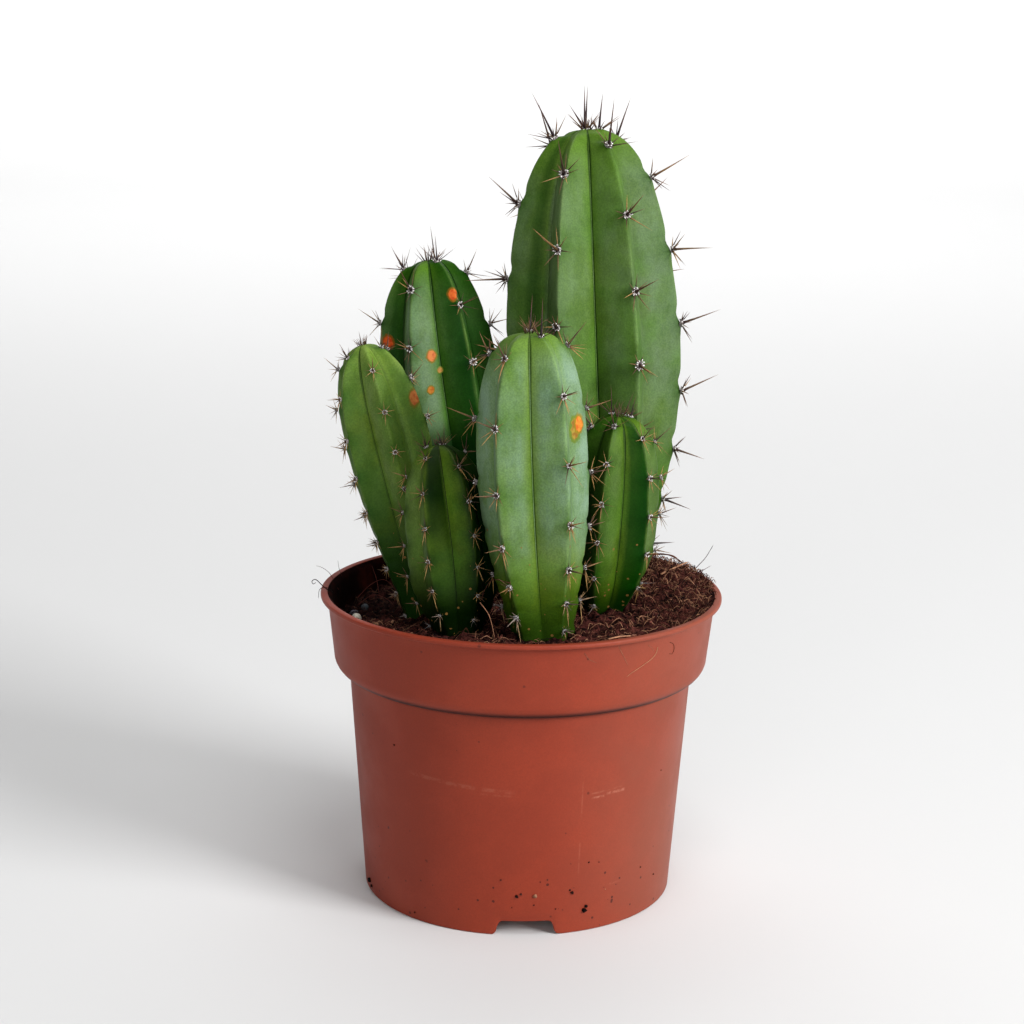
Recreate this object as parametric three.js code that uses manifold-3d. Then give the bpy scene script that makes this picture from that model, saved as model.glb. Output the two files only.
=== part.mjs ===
// Six ribbed columnar cactus stems growing together in a plastic nursery pot of peaty soil.
// Millimetres, +Z up. The origin is the centre of the pot's foot, on the surface it stands on.
// The pot's front, where the shortest stems stand, faces -Y.
import * as THREE from 'three';
import { mergeVertices } from 'three/addons/utils/BufferGeometryUtils.js';
import Module from 'manifold-3d';

const wasm = await Module();
wasm.setup();

const TURN = Math.PI * 2;
const CLEARANCE = 0.35; // kept between neighbouring pieces

const POT = {
  height: 91.2,
  footRadius: 46.5,
  waistRadius: 51.4, // where the tapered wall meets the band
  waistHeight: 67.8,
  shoulder: 4.6, // rounding under the band
  bandRadius: 58.1, // just under the lip
  lipRadius: 60,
  lipHeight: 1.4,
  lipEdge: 0.45,
  mouthRadius: 57.9, // inner edge of the lip, where the wall flares out to it
  flareDepth: 1.6,
  wall: 1.4,
  floorUnderside: 4.6,
  floorThickness: 1.3,
  segments: 48,
};
const NOTCH = { count: 3, first: 3.4, height: 4.45, topWidth: 13.3, bottomWidth: 20, corner: 1.5 };
const DRAIN = { count: 6, ring: 31, radius: 4, sides: 10 };

const SOIL = {
  level: 87.2,
  slope: 0.02, // rises towards +X
  hollow: { x: -42, y: 14, depth: 6, spread: 20 },
  heap: { x: 44, y: 18, depth: -4.5, spread: 17 },
  relief: 0.55,
  rings: 7,
  wallTop: 90.4, // highest the soil reaches where it meets the wall
};
const CHIP = { count: 16, farthest: 49, keepOff: 6 };

// base and apex: ends of a stem's middle line, base at soil level. bow: sideways bend of that line.
// radius: at the widest crests, at the share `widest` of the height. crown and blunt: how full the
// top is. phase: angle of a crest from the front, towards +X. furrow: how deep the valleys cut.
// pitch: spacing of the spine cushions along a crest, top and base, and the share of the height over
// which it changes. leads: how far below the tip the first cushion of each crest sits. central and radial: spine lengths.
const STEMS = [
  {
    name: 'stem_tall', colour: 0x3f6b3a, ribs: 7, base: [25.6, 25.6, 84], apex: [17.3, 29.6, 226],
    bow: -0.7, baseRadius: 12, radius: 27.8, widest: 0.53, crown: 1.8, blunt: 2.9, phase: 28.5, furrow: 0.23,
    pitch: [22.6, 13, 0.83], leads: [14.2, 3.8, 13, 4, 14, 10.3, 1], central: 9.5, radial: 4.5,
  },
  {
    name: 'stem_back', colour: 0x35602f, ribs: 6, base: [-12.7, 21.2, 84], apex: [-29.9, 25.8, 186.6],
    bow: -2.2, baseRadius: 10, radius: 19.2, widest: 0.59, crown: 1.8, blunt: 3, phase: 37.5, furrow: 0.19,
    pitch: [17.4, 12, 0.7], leads: [5, 13.3, 5, 12, 7.6, 15.5], central: 6.5, radial: 4,
  },
  {
    name: 'stem_left', colour: 0x56803c, ribs: 6, base: [-27.1, -3.2, 84], apex: [-47.2, -4.4, 165.2],
    bow: 0.3, baseRadius: 8.5, radius: 14.3, widest: 0.6, crown: 2.9, blunt: 2.2, phase: 11, furrow: 0.22,
    pitch: [12.6, 7.5, 1], leads: [12.7, 5.9, 9, 4, 12, 6.9], central: 4.5, radial: 2.8,
  },
  {
    name: 'stem_front', colour: 0x6a9470, ribs: 5, base: [6.7, -34, 84], apex: [1.2, -36.5, 174.2],
    bow: -0.9, baseRadius: 9.4, radius: 17.1, widest: 0.54, crown: 2.6, blunt: 3, phase: 36, furrow: 0.15,
    pitch: [19.2, 7.5, 0.85], leads: [5.2, 12.4, 5, 14, 13.3], central: 6.5, radial: 3.8,
  },
  {
    name: 'stem_low', colour: 0x40632b, ribs: 6, base: [-17.5, -29.6, 84], apex: [-24.4, -19.5, 138.9],
    bow: 0.9, baseRadius: 6.2, radius: 13.7, widest: 0.38, crown: 2.9, blunt: 2.4, phase: 31.5, furrow: 0.15,
    pitch: [11.2, 7.4, 1.2], leads: [1.9, 8, 3, 8, 3.6, 9.1], central: 4, radial: 2.6,
  },
  {
    name: 'stem_right', colour: 0x47702f, ribs: 6, base: [23.3, -5.2, 84], apex: [27.5, -14, 147.1],
    bow: 0.2, baseRadius: 6.6, radius: 15.4, widest: 0.38, crown: 2.8, blunt: 2.6, phase: 46.3, furrow: 0.19,
    pitch: [11.6, 10.8, 0.6], leads: [10.7, 3.4, 8, 3, 9, 6.5], central: 5, radial: 3.2,
  },
];
const BASE_SWELL = 1.2; // how late a stem swells above its narrow base
const FLANK_BULGE = 0.03; // the flanks are slightly convex between crest and furrow
const FURROW_RAMP = [0.3, 1, 1.25]; // how much of the furrow depth shows at the base, at 0.3 and at the tip
const FOOT = { depth: 14, taper: 0.35 }; // buried end of each stem
const RING_SPACING = 10; // between a stem's rings, along a crest
const HOLE_TOP = 0.28; // share of a stem's height up to which the hole in the soil is shaped
const CUSHION = { radius: 0.9, above: 0.35, below: 1.5 };
const SPINE = { reach: 61.2, room: 0.6, shortest: 0.12, tilt: 0.5 };

const PEBBLES = [
  { name: 'pebble_white', at: [-48.3, -15.2], size: [1.8, 1.5, 1.5], colour: 0xcfc8ba },
  { name: 'pebble_grey_1', at: [-50.5, 5.7], size: [1.6, 1.3, 1.2], colour: 0x6b6a68 },
  { name: 'pebble_grey_2', at: [-47.8, 12.6], size: [1.3, 1.2, 1.3], colour: 0x5f6265 },
];

// Seeded random numbers between 0 and 1, the same each time.
function seeded(seed) {
  let state = seed;
  return () => {
    state = (Math.imul(state, 1664525) + 1013904223) >>> 0;
    return state / 4294967296;
  };
}

function spread(random, width) {
  return (random() * 2 - 1) * width;
}

function toSolid(geometry) {
  const bare = geometry.index ? geometry.clone() : geometry;
  bare.deleteAttribute('normal');
  bare.deleteAttribute('uv');
  const merged = mergeVertices(bare, 1e-4);
  return new wasm.Manifold(new wasm.Mesh({
    numProp: 3,
    vertProperties: new Float32Array(merged.attributes.position.array),
    triVerts: new Uint32Array(merged.index.array),
  }));
}

function toGeometry(solid) {
  const mesh = solid.getMesh();
  const geometry = new THREE.BufferGeometry();
  geometry.setAttribute('position', new THREE.BufferAttribute(mesh.vertProperties, 3));
  geometry.setIndex(new THREE.BufferAttribute(mesh.triVerts, 1));
  geometry.computeVertexNormals();
  return geometry;
}

function fromTriangles(points, triangles) {
  const geometry = new THREE.BufferGeometry();
  geometry.setAttribute('position', new THREE.Float32BufferAttribute(points.flatMap((p) => p.toArray()), 3));
  geometry.setIndex(triangles);
  return geometry;
}

// Joins rings of equal point counts, listed from the bottom up, and closes both ends on a point.
function skinRings(rings, bottom, top) {
  const count = rings[0].length;
  const points = [...rings.flat(), bottom, top];
  const bottomIndex = points.length - 2;
  const topIndex = points.length - 1;
  const triangles = [];
  for (let j = 0; j < count; j += 1) {
    const next = (j + 1) % count;
    triangles.push(bottomIndex, next, j);
    for (let i = 0; i < rings.length - 1; i += 1) {
      const low = i * count;
      const high = low + count;
      triangles.push(low + j, low + next, high + next, low + j, high + next, high + j);
    }
    const last = (rings.length - 1) * count;
    triangles.push(last + j, last + next, topIndex);
  }
  return fromTriangles(points, triangles);
}

// Pot

// Half section of the pot, from the middle of its underside, round the outside, to the floor inside.
function potOutline() {
  const { wall, shoulder, lipEdge } = POT;
  const lipUnder = POT.height - POT.lipHeight;
  const floorTop = POT.floorUnderside + POT.floorThickness;
  const centre = new THREE.Vector2(POT.waistRadius, POT.waistHeight + shoulder);
  const path = new THREE.Path();
  path.moveTo(0, POT.floorUnderside);
  path.lineTo(POT.footRadius - wall, POT.floorUnderside);
  path.lineTo(POT.footRadius - wall, 0);
  path.lineTo(POT.footRadius, 0);
  path.lineTo(POT.waistRadius, POT.waistHeight);
  path.absarc(centre.x, centre.y, shoulder, -Math.PI / 2, 0, false);
  path.lineTo(POT.bandRadius, lipUnder);
  path.lineTo(POT.lipRadius - lipEdge, lipUnder);
  path.lineTo(POT.lipRadius, lipUnder + lipEdge);
  path.lineTo(POT.lipRadius, POT.height - lipEdge);
  path.lineTo(POT.lipRadius - lipEdge, POT.height);
  path.lineTo(POT.mouthRadius, POT.height);
  path.lineTo(insideRadius(POT.height - POT.flareDepth), POT.height - POT.flareDepth);
  path.lineTo(insideRadius(centre.y), centre.y);
  path.lineTo(insideRadius(POT.waistHeight), POT.waistHeight);
  path.lineTo(insideRadius(floorTop), floorTop);
  path.lineTo(0, floorTop);
  return path.getPoints(3);
}

// Radius of the pot's inner face at a height, in the tapered wall or in the band above it.
function insideRadius(z) {
  const { waistHeight, footRadius, waistRadius, bandRadius, shoulder, wall } = POT;
  const outside = z <= waistHeight
    ? THREE.MathUtils.mapLinear(z, 0, waistHeight, footRadius, waistRadius)
    : THREE.MathUtils.mapLinear(z, waistHeight + shoulder, POT.height, waistRadius + shoulder, bandRadius);
  return outside - wall;
}

function notchCutter(angle) {
  const top = NOTCH.topWidth / 2;
  const bottom = NOTCH.bottomWidth / 2;
  const shape = new THREE.Shape();
  shape.moveTo(-bottom, -1);
  shape.lineTo(bottom, -1);
  shape.lineTo(bottom, 0);
  shape.quadraticCurveTo(bottom - NOTCH.corner, 0, top + NOTCH.corner, NOTCH.height - NOTCH.corner);
  shape.quadraticCurveTo(top + NOTCH.corner / 2, NOTCH.height, top, NOTCH.height);
  shape.lineTo(-top, NOTCH.height);
  shape.quadraticCurveTo(-top - NOTCH.corner / 2, NOTCH.height, -top - NOTCH.corner, NOTCH.height - NOTCH.corner);
  shape.quadraticCurveTo(-bottom + NOTCH.corner, 0, -bottom, 0);
  const depth = POT.wall * 4;
  const cutter = new THREE.ExtrudeGeometry(shape, { depth, bevelEnabled: false, curveSegments: 2 });
  cutter.rotateX(Math.PI / 2);
  cutter.translate(0, depth / 2 - POT.footRadius, 0);
  cutter.rotateZ(angle);
  return toSolid(cutter);
}

function drainCutter(radius, angle) {
  const hole = new THREE.CylinderGeometry(DRAIN.radius, DRAIN.radius, POT.floorThickness * 3, DRAIN.sides);
  hole.rotateX(Math.PI / 2);
  hole.translate(0, -radius, POT.floorUnderside + POT.floorThickness / 2);
  hole.rotateZ(angle);
  return toSolid(hole);
}

function makePot() {
  const lathe = new THREE.LatheGeometry(potOutline(), POT.segments);
  lathe.rotateX(Math.PI / 2);
  let pot = toSolid(lathe).subtract(drainCutter(0, 0));
  const first = THREE.MathUtils.degToRad(NOTCH.first);
  for (let i = 0; i < NOTCH.count; i += 1) {
    pot = pot.subtract(notchCutter(first + (i * TURN) / NOTCH.count));
  }
  for (let i = 0; i < DRAIN.count; i += 1) {
    pot = pot.subtract(drainCutter(DRAIN.ring, first + (i * TURN) / DRAIN.count));
  }
  return pot;
}

// Stems

function middleLine(stem) {
  const base = new THREE.Vector3(...stem.base);
  const apex = new THREE.Vector3(...stem.apex);
  const control = base.clone().add(apex).multiplyScalar(0.5);
  control.x += 2 * stem.bow;
  return new THREE.QuadraticBezierCurve3(base, control, apex);
}

// Directions that a stem's cross sections use: along it, to its front and to its right.
function stemAxes(stem) {
  const along = new THREE.Vector3(...stem.apex).sub(new THREE.Vector3(...stem.base));
  const length = along.length();
  along.normalize();
  const front = new THREE.Vector3(0, -1, 0);
  front.addScaledVector(along, -front.dot(along)).normalize();
  const right = new THREE.Vector3().crossVectors(along, front);
  return { along, front, right, length };
}

function footShare(stem) {
  return -FOOT.depth / stem.length;
}

function crestRadius(stem, t) {
  if (t < 0) {
    return stem.baseRadius * (1 - FOOT.taper * (t / footShare(stem)) ** 2);
  }
  if (t < stem.widest) {
    const rise = Math.sin((Math.PI / 2) * (t / stem.widest)) ** BASE_SWELL;
    return stem.baseRadius + (stem.radius - stem.baseRadius) * rise;
  }
  const u = Math.min(1, (t - stem.widest) / (1 - stem.widest));
  return stem.radius * (1 - u ** stem.crown) ** (1 / stem.blunt);
}

// Radius of the furrow as a share of the crest's.
function furrowShare(stem, t) {
  const [low, full, high] = FURROW_RAMP;
  const ramp = t < 0.3
    ? THREE.MathUtils.mapLinear(Math.max(t, 0), 0, 0.3, low, full)
    : THREE.MathUtils.mapLinear(Math.min(t, 1), 0.3, 1, full, high);
  return Math.cos(Math.PI / stem.ribs) - stem.furrow * ramp;
}

// Radius of the ribbed cross section at an angle from the front: flanks run from crest to furrow.
function sectionRadius(stem, t, angle) {
  const half = Math.PI / stem.ribs;
  const turned = THREE.MathUtils.euclideanModulo(angle - stem.phase + half, 2 * half) - half;
  const off = Math.abs(turned);
  const furrow = furrowShare(stem, t);
  const slope = (furrow * Math.sin(half)) / (1 - furrow * Math.cos(half));
  const flank = slope / (Math.sin(off) + slope * Math.cos(off));
  const bulge = 1 + FLANK_BULGE * Math.sin((Math.PI * off) / half);
  return crestRadius(stem, t) * flank * bulge;
}

function stemPoint(stem, t, angle, radius) {
  return stem.line.getPoint(t)
    .addScaledVector(stem.front, radius * Math.cos(angle))
    .addScaledVector(stem.right, radius * Math.sin(angle));
}

// Points down a crest line from the tip, with the length covered so far.
function crestTrack(stem) {
  const steps = 160;
  const track = [{ t: 1, length: 0 }];
  let previous = stemPoint(stem, 1, stem.phase, 0);
  for (let i = 1; i <= steps; i += 1) {
    const t = 1 - (i / steps) ** 2;
    const point = stemPoint(stem, t, stem.phase, crestRadius(stem, t));
    track.push({ t, length: track[i - 1].length + point.distanceTo(previous) });
    previous = point;
  }
  return track;
}

function shareAt(track, length) {
  const i = track.findIndex((mark) => mark.length >= length);
  if (i < 1) {
    return i === 0 ? 1 : 0;
  }
  const part = (length - track[i - 1].length) / (track[i].length - track[i - 1].length);
  return THREE.MathUtils.lerp(track[i - 1].t, track[i].t, part);
}

function sectionRing(stem, t, grow) {
  const half = Math.PI / stem.ribs;
  const ring = [];
  for (let i = 0; i < stem.ribs * 4; i += 1) {
    const angle = stem.phase + (i * half) / 2;
    ring.push(stemPoint(stem, t, angle, sectionRadius(stem, t, angle) + grow));
  }
  return ring;
}

function stemBody(stem) {
  const total = stem.track.at(-1).length;
  const count = Math.round(total / RING_SPACING);
  const rings = [sectionRing(stem, footShare(stem), 0)];
  for (let i = 0; i < count; i += 1) {
    rings.push(sectionRing(stem, shareAt(stem.track, total * (1 - i / count)), 0));
  }
  return toSolid(skinRings(rings, stem.line.getPoint(footShare(stem)), stem.line.getPoint(1)));
}

// The room that a stem's lower end takes in the soil, a little wider than the stem itself.
function stemHole(stem) {
  const total = stem.track.at(-1).length;
  const count = Math.round(total / RING_SPACING);
  const below = footShare(stem) - CLEARANCE / stem.length;
  const rings = [sectionRing(stem, below, CLEARANCE)];
  let top = 0;
  for (let i = 0; i < count && top < HOLE_TOP; i += 1) {
    top = shareAt(stem.track, total * (1 - i / count));
    rings.push(sectionRing(stem, top, CLEARANCE));
  }
  return toSolid(skinRings(rings, stem.line.getPoint(below), stem.line.getPoint(top)));
}

// How far a point lies outside a stem's ribbed surface, negative inside.
function distanceOutside(stem, point) {
  let t = 0;
  const offset = new THREE.Vector3();
  for (let i = 0; i < 3; i += 1) {
    offset.subVectors(point, stem.line.getPoint(t));
    t += offset.dot(stem.along) / stem.length;
  }
  const inside = THREE.MathUtils.clamp(t, footShare(stem), 1);
  offset.subVectors(point, stem.line.getPoint(inside));
  const across = Math.hypot(offset.dot(stem.front), offset.dot(stem.right));
  const angle = Math.atan2(offset.dot(stem.right), offset.dot(stem.front));
  const radial = across - sectionRadius(stem, inside, angle);
  return t > 1 ? Math.max(radial, (t - 1) * stem.length) : radial;
}

// Spines

// Where the spine cushions sit on one crest, with the directions that their spines use.
function cushionPlaces(stem, rib) {
  const places = [];
  const angle = stem.phase + (rib * TURN) / stem.ribs;
  const [topPitch, basePitch, change] = stem.pitch;
  let length = stem.leads[rib];
  while (length < stem.track.at(-1).length) {
    const t = shareAt(stem.track, length);
    const point = stemPoint(stem, t, angle, crestRadius(stem, t));
    const lower = stemPoint(stem, t - 0.01, angle, crestRadius(stem, t - 0.01));
    const up = point.clone().sub(lower).normalize();
    const outward = stemPoint(stem, t, angle, 1).sub(stem.line.getPoint(t));
    outward.addScaledVector(up, -outward.dot(up)).normalize();
    places.push({ t, point, up, outward, side: new THREE.Vector3().crossVectors(up, outward) });
    length += THREE.MathUtils.lerp(basePitch, topPitch, THREE.MathUtils.smoothstep(t, 0, change));
  }
  return places;
}

function segmentGap(a, b) {
  const steps = 6;
  let gap = Infinity;
  const p = new THREE.Vector3();
  const nearest = new THREE.Vector3();
  const line = new THREE.Line3(b.start, b.end);
  for (let i = 0; i <= steps; i += 1) {
    p.lerpVectors(a.start, a.end, i / steps);
    line.closestPointToPoint(p, true, nearest);
    gap = Math.min(gap, p.distanceTo(nearest));
  }
  return gap;
}

function isClear(stem, start, end, others, grown) {
  const point = new THREE.Vector3();
  const steps = 5;
  for (let i = 1; i <= steps; i += 1) {
    point.lerpVectors(start, end, i / steps);
    if (Math.max(Math.abs(point.x), Math.abs(point.y)) > SPINE.reach) {
      return false;
    }
    if (point.z < soilHeight(point.x, point.y) + 2 * SPINE.room) {
      return false;
    }
    const nearRim = Math.hypot(point.x, point.y) > POT.bandRadius - POT.wall - SPINE.room;
    if (nearRim && point.z < POT.height + SPINE.room) {
      return false;
    }
    if (others.some((other) => distanceOutside(other, point) < SPINE.room)) {
      return false;
    }
  }
  const mine = { start, end };
  return !grown.some((spine) => spine.stem !== stem && segmentGap(mine, spine) < 2 * SPINE.room);
}

// The longest spine towards a direction that stays clear of the neighbours, or a stub.
function growSpine(stem, start, direction, length, others, grown) {
  let reach = length;
  let tip = start.clone().addScaledVector(direction, reach);
  while (reach > length * SPINE.shortest && !isClear(stem, start, tip, others, grown)) {
    reach *= 0.75;
    tip = start.clone().addScaledVector(direction, reach);
  }
  grown.push({ stem, start, end: tip });
  return tip;
}

// One cushion: a three-cornered plug sunk in the crest, with a spine drawn out of each side and its top.
function spineCluster(stem, place, random, others, grown) {
  const { point, up, outward, side, t } = place;
  const spin = random() * TURN;
  const low = [];
  const high = [];
  for (let i = 0; i < 3; i += 1) {
    const angle = spin + (i * TURN) / 3;
    const corner = point.clone()
      .addScaledVector(side, CUSHION.radius * Math.cos(angle))
      .addScaledVector(up, CUSHION.radius * Math.sin(angle));
    low.push(corner.clone().addScaledVector(outward, -CUSHION.below));
    high.push(corner.addScaledVector(outward, CUSHION.above));
  }
  const points = [...low, ...high];
  const triangles = [0, 2, 1];
  const young = 0.7 + 0.5 * t;
  for (let i = 0; i < 3; i += 1) {
    const angle = spin + ((i + 0.5) * TURN) / 3 + spread(random, 0.2);
    const direction = outward.clone().multiplyScalar(SPINE.tilt + spread(random, 0.25))
      .addScaledVector(side, Math.cos(angle))
      .addScaledVector(up, Math.sin(angle))
      .normalize();
    const length = stem.radial * young * (1 + spread(random, 0.35));
    points.push(growSpine(stem, point, direction, length, others, grown));
    const next = (i + 1) % 3;
    const corners = [i, next, 3 + next, 3 + i];
    corners.forEach((corner, k) => triangles.push(corner, corners[(k + 1) % 4], 6 + i));
  }
  const direction = outward.clone()
    .addScaledVector(side, spread(random, 0.35))
    .addScaledVector(up, 0.15 + spread(random, 0.35))
    .normalize();
  const length = stem.central * young * (1 + spread(random, 0.3));
  points.push(growSpine(stem, point, direction, length, others, grown));
  triangles.push(3, 4, 9, 4, 5, 9, 5, 3, 9);
  return toSolid(fromTriangles(points, triangles));
}

function makeStem(stem, stems, grown, seed) {
  const random = seeded(seed);
  const others = stems.filter((other) => other !== stem);
  let solid = stemBody(stem);
  for (let rib = 0; rib < stem.ribs; rib += 1) {
    for (const place of cushionPlaces(stem, rib)) {
      const { point } = place;
      const buried = point.z < soilHeight(point.x, point.y) + 3 * SPINE.room;
      const crowded = others.some((other) => distanceOutside(other, point) < 3 * SPINE.room);
      if (!buried && !crowded) {
        solid = solid.add(spineCluster(stem, place, random, others, grown));
      }
    }
  }
  return solid;
}

// Soil

function mound(form, x, y) {
  const away = (x - form.x) ** 2 + (y - form.y) ** 2;
  return form.depth * Math.exp(-away / (2 * form.spread ** 2));
}

function soilHeight(x, y) {
  const lumps = Math.sin(0.41 * x + 1.3) * Math.sin(0.47 * y + 0.4) + Math.sin(0.83 * x + 0.6 * y)
    + 0.7 * Math.sin(0.9 * y - 0.55 * x + 2.1);
  const height = SOIL.level + SOIL.slope * x - mound(SOIL.hollow, x, y) - mound(SOIL.heap, x, y)
    + SOIL.relief * lumps;
  const edge = THREE.MathUtils.smoothstep(Math.hypot(x, y), POT.bandRadius - 10, POT.bandRadius - POT.wall);
  return THREE.MathUtils.lerp(height, Math.min(height, SOIL.wallTop), edge);
}

function ringOf(pointAt) {
  return Array.from({ length: POT.segments }, (_, j) => pointAt((j * TURN) / POT.segments));
}

// A level ring of the soil's side, just clear of the pot.
function sideRing(z) {
  const radius = insideRadius(z) - CLEARANCE;
  return ringOf((angle) => new THREE.Vector3(radius * Math.cos(angle), radius * Math.sin(angle), z));
}

// A ring of the soil's surface, at a share of the way from the middle to the pot.
function surfaceRing(share) {
  return ringOf((angle) => {
    const rim = insideRadius(SOIL.level);
    const edge = soilHeight(rim * Math.cos(angle), rim * Math.sin(angle));
    const radius = (insideRadius(edge) - CLEARANCE) * share;
    const x = radius * Math.cos(angle);
    const y = radius * Math.sin(angle);
    return new THREE.Vector3(x, y, soilHeight(x, y));
  });
}

function randomSpot(random) {
  const radius = CHIP.farthest * Math.sqrt(random());
  const angle = random() * TURN;
  const x = radius * Math.cos(angle);
  const y = radius * Math.sin(angle);
  return new THREE.Vector3(x, y, soilHeight(x, y));
}

// A splinter of bark or stalk lying half sunk in the soil.
function chip(random, { x, y, z }) {
  const splinter = new THREE.OctahedronGeometry(1, 0);
  splinter.scale(2.5 + 2.5 * random(), 0.8 + 0.5 * random(), 0.7 + 0.4 * random());
  splinter.rotateY(spread(random, 0.35));
  splinter.rotateZ(random() * TURN);
  splinter.translate(x, y, z);
  return toSolid(splinter);
}

function makeSoil(stems, pebbles) {
  const floor = POT.floorUnderside + POT.floorThickness + CLEARANCE;
  const rings = [sideRing(floor), sideRing(POT.waistHeight), sideRing(POT.waistHeight + POT.shoulder + 1)];
  for (let i = 0; i < SOIL.rings; i += 1) {
    rings.push(surfaceRing(1 - i / SOIL.rings));
  }
  const bottom = new THREE.Vector3(0, 0, floor);
  const top = new THREE.Vector3(0, 0, soilHeight(0, 0));
  let soil = toSolid(skinRings(rings, bottom, top));
  const random = seeded(41);
  let placed = 0;
  while (placed < CHIP.count) {
    const spot = randomSpot(random);
    const byStem = stems.some((stem) => distanceOutside(stem, spot) < CHIP.keepOff);
    const byPebble = pebbles.some(({ at }) => Math.hypot(spot.x - at[0], spot.y - at[1]) < CHIP.keepOff);
    if (!byStem && !byPebble) {
      soil = soil.add(chip(random, spot));
      placed += 1;
    }
  }
  for (const stem of stems) {
    soil = soil.subtract(stemHole(stem));
  }
  for (const pebble of pebbles) {
    soil = soil.subtract(pebbleSolid(pebble, CLEARANCE));
  }
  return soil;
}

// Pebbles

function pebbleSolid(pebble, grow) {
  const stone = new THREE.IcosahedronGeometry(1, 1);
  const [x, y] = pebble.at;
  stone.scale(...pebble.size.map((half) => half + grow));
  stone.rotateZ(x);
  stone.translate(x, y, soilHeight(x, y) + pebble.size[2] / 2);
  return toSolid(stone);
}

function material(colour, roughness) {
  return new THREE.MeshStandardMaterial({ color: colour, roughness, metalness: 0 });
}

function addPiece(group, name, solid, surface) {
  const mesh = new THREE.Mesh(toGeometry(solid), surface);
  mesh.name = name;
  group.add(mesh);
}

function buildPlant() {
  const stems = STEMS.map((sizes) => {
    const stem = { ...sizes, ...stemAxes(sizes), line: middleLine(sizes) };
    stem.phase = THREE.MathUtils.degToRad(sizes.phase);
    stem.track = crestTrack(stem);
    return stem;
  });
  const plant = new THREE.Group();
  addPiece(plant, 'pot', makePot(), material(0xa34d38, 0.55));
  addPiece(plant, 'soil', makeSoil(stems, PEBBLES), material(0x3b2a20, 0.95));
  const grown = [];
  stems.forEach((stem, i) => {
    addPiece(plant, stem.name, makeStem(stem, stems, grown, 7 + i), material(stem.colour, 0.5));
  });
  for (const pebble of PEBBLES) {
    addPiece(plant, pebble.name, pebbleSolid(pebble, 0), material(pebble.colour, 0.8));
  }
  return plant;
}

export default buildPlant();
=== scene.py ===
import math
import random

import bpy
import numpy as np
from mathutils import Matrix, Vector, noise


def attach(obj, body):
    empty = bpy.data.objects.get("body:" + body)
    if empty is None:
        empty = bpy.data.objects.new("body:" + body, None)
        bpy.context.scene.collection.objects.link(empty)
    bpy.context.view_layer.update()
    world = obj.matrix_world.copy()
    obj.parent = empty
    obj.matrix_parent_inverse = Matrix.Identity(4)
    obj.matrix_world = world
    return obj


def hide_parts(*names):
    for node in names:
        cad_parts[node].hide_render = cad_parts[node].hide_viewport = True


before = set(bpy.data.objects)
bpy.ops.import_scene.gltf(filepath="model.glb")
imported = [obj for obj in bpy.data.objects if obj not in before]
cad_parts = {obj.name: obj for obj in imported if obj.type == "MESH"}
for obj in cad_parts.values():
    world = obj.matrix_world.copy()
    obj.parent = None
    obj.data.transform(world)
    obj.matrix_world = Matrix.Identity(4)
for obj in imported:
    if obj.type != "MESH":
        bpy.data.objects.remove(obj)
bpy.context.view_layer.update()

mm = 0.001
fullTurn = 2 * math.pi

# Camera, floor and lights. Places are in metres.

photoCamera = {
    "place": (0, -0.6467, 0.2643), "yaw": -0.275, "pitch": 13.002, "roll": 0.855,
    "lens": 78.36, "sensor": 36,
}
studio = {
    "floorRadius": 2.6, "wallHeight": 1.3, "around": 96,
    "sweep": 0.9,  # radius of the curve from floor to wall
    "paper": (0.67, 0.67, 0.67), "sky": (1, 1, 1), "skyStrength": 0.1,
    "lights": {  # place, size, power and the point each light is aimed at
        "rightSoftbox": ((1.3, -0.85, 0.8), 0.65, 33, (0, 0, 0.12)),
        "topSoftbox": ((0.2, -0.4, 1.3), 0.6, 7, (0, 0, 0.12)),
        "frontFill": ((-0.3, -1.5, 0.65), 0.8, 6, (0, 0, 0.12)),
        "backdropLight": ((0, 1.9, 2.5), 2.6, 105, (0, 3.5, 0.5)),
        "nearWallLight": ((0.4, -1.7, 1.6), 1.8, 16, (1, -3.6, 0.6)),
        "rightWallLight": ((1.9, 0.2, 1.6), 1.8, 12, (3.7, 0.4, 0.6)),
        "leftWallLight": ((-1.9, 0.2, 1.6), 1.8, 18, (-3.7, 0.4, 0.6)),
    },
}


def addObject(name, data):
    thing = bpy.data.objects.new(name, data)
    bpy.context.scene.collection.objects.link(thing)
    return thing


def makeCamera():
    look = photoCamera
    yaw, pitch, roll = (math.radians(look[key]) for key in ("yaw", "pitch", "roll"))
    ahead = Vector((math.sin(yaw) * math.cos(pitch), math.cos(yaw) * math.cos(pitch), -math.sin(pitch)))
    side = ahead.cross(Vector((0, 0, 1))).normalized()
    above = side.cross(ahead)
    across = side * math.cos(roll) + above * math.sin(roll)
    upward = above * math.cos(roll) - side * math.sin(roll)
    data = bpy.data.cameras.new("photoCamera")
    data.lens, data.sensor_width = look["lens"], look["sensor"]
    camera = addObject("photoCamera", data)
    turn = Matrix((across, upward, -ahead)).transposed().to_4x4()
    camera.matrix_world = Matrix.Translation(look["place"]) @ turn
    bpy.context.scene.camera = camera


def makeLights():
    for name, (place, size, power, aim) in studio["lights"].items():
        data = bpy.data.lights.new(name, "AREA")
        data.size, data.energy = size, power
        light = addObject(name, data)
        light.location = place
        light.rotation_euler = (Vector(aim) - Vector(place)).to_track_quat("-Z", "Y").to_euler()
    world = bpy.data.worlds.new("studioSky")
    world.use_nodes = True
    background = world.node_tree.nodes["Background"].inputs
    background["Color"].default_value = (*studio["sky"], 1)
    background["Strength"].default_value = studio["skyStrength"]
    bpy.context.scene.world = world
    bpy.context.scene.view_settings.view_transform = "Standard"


# Short calls for building a shader tree


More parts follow.
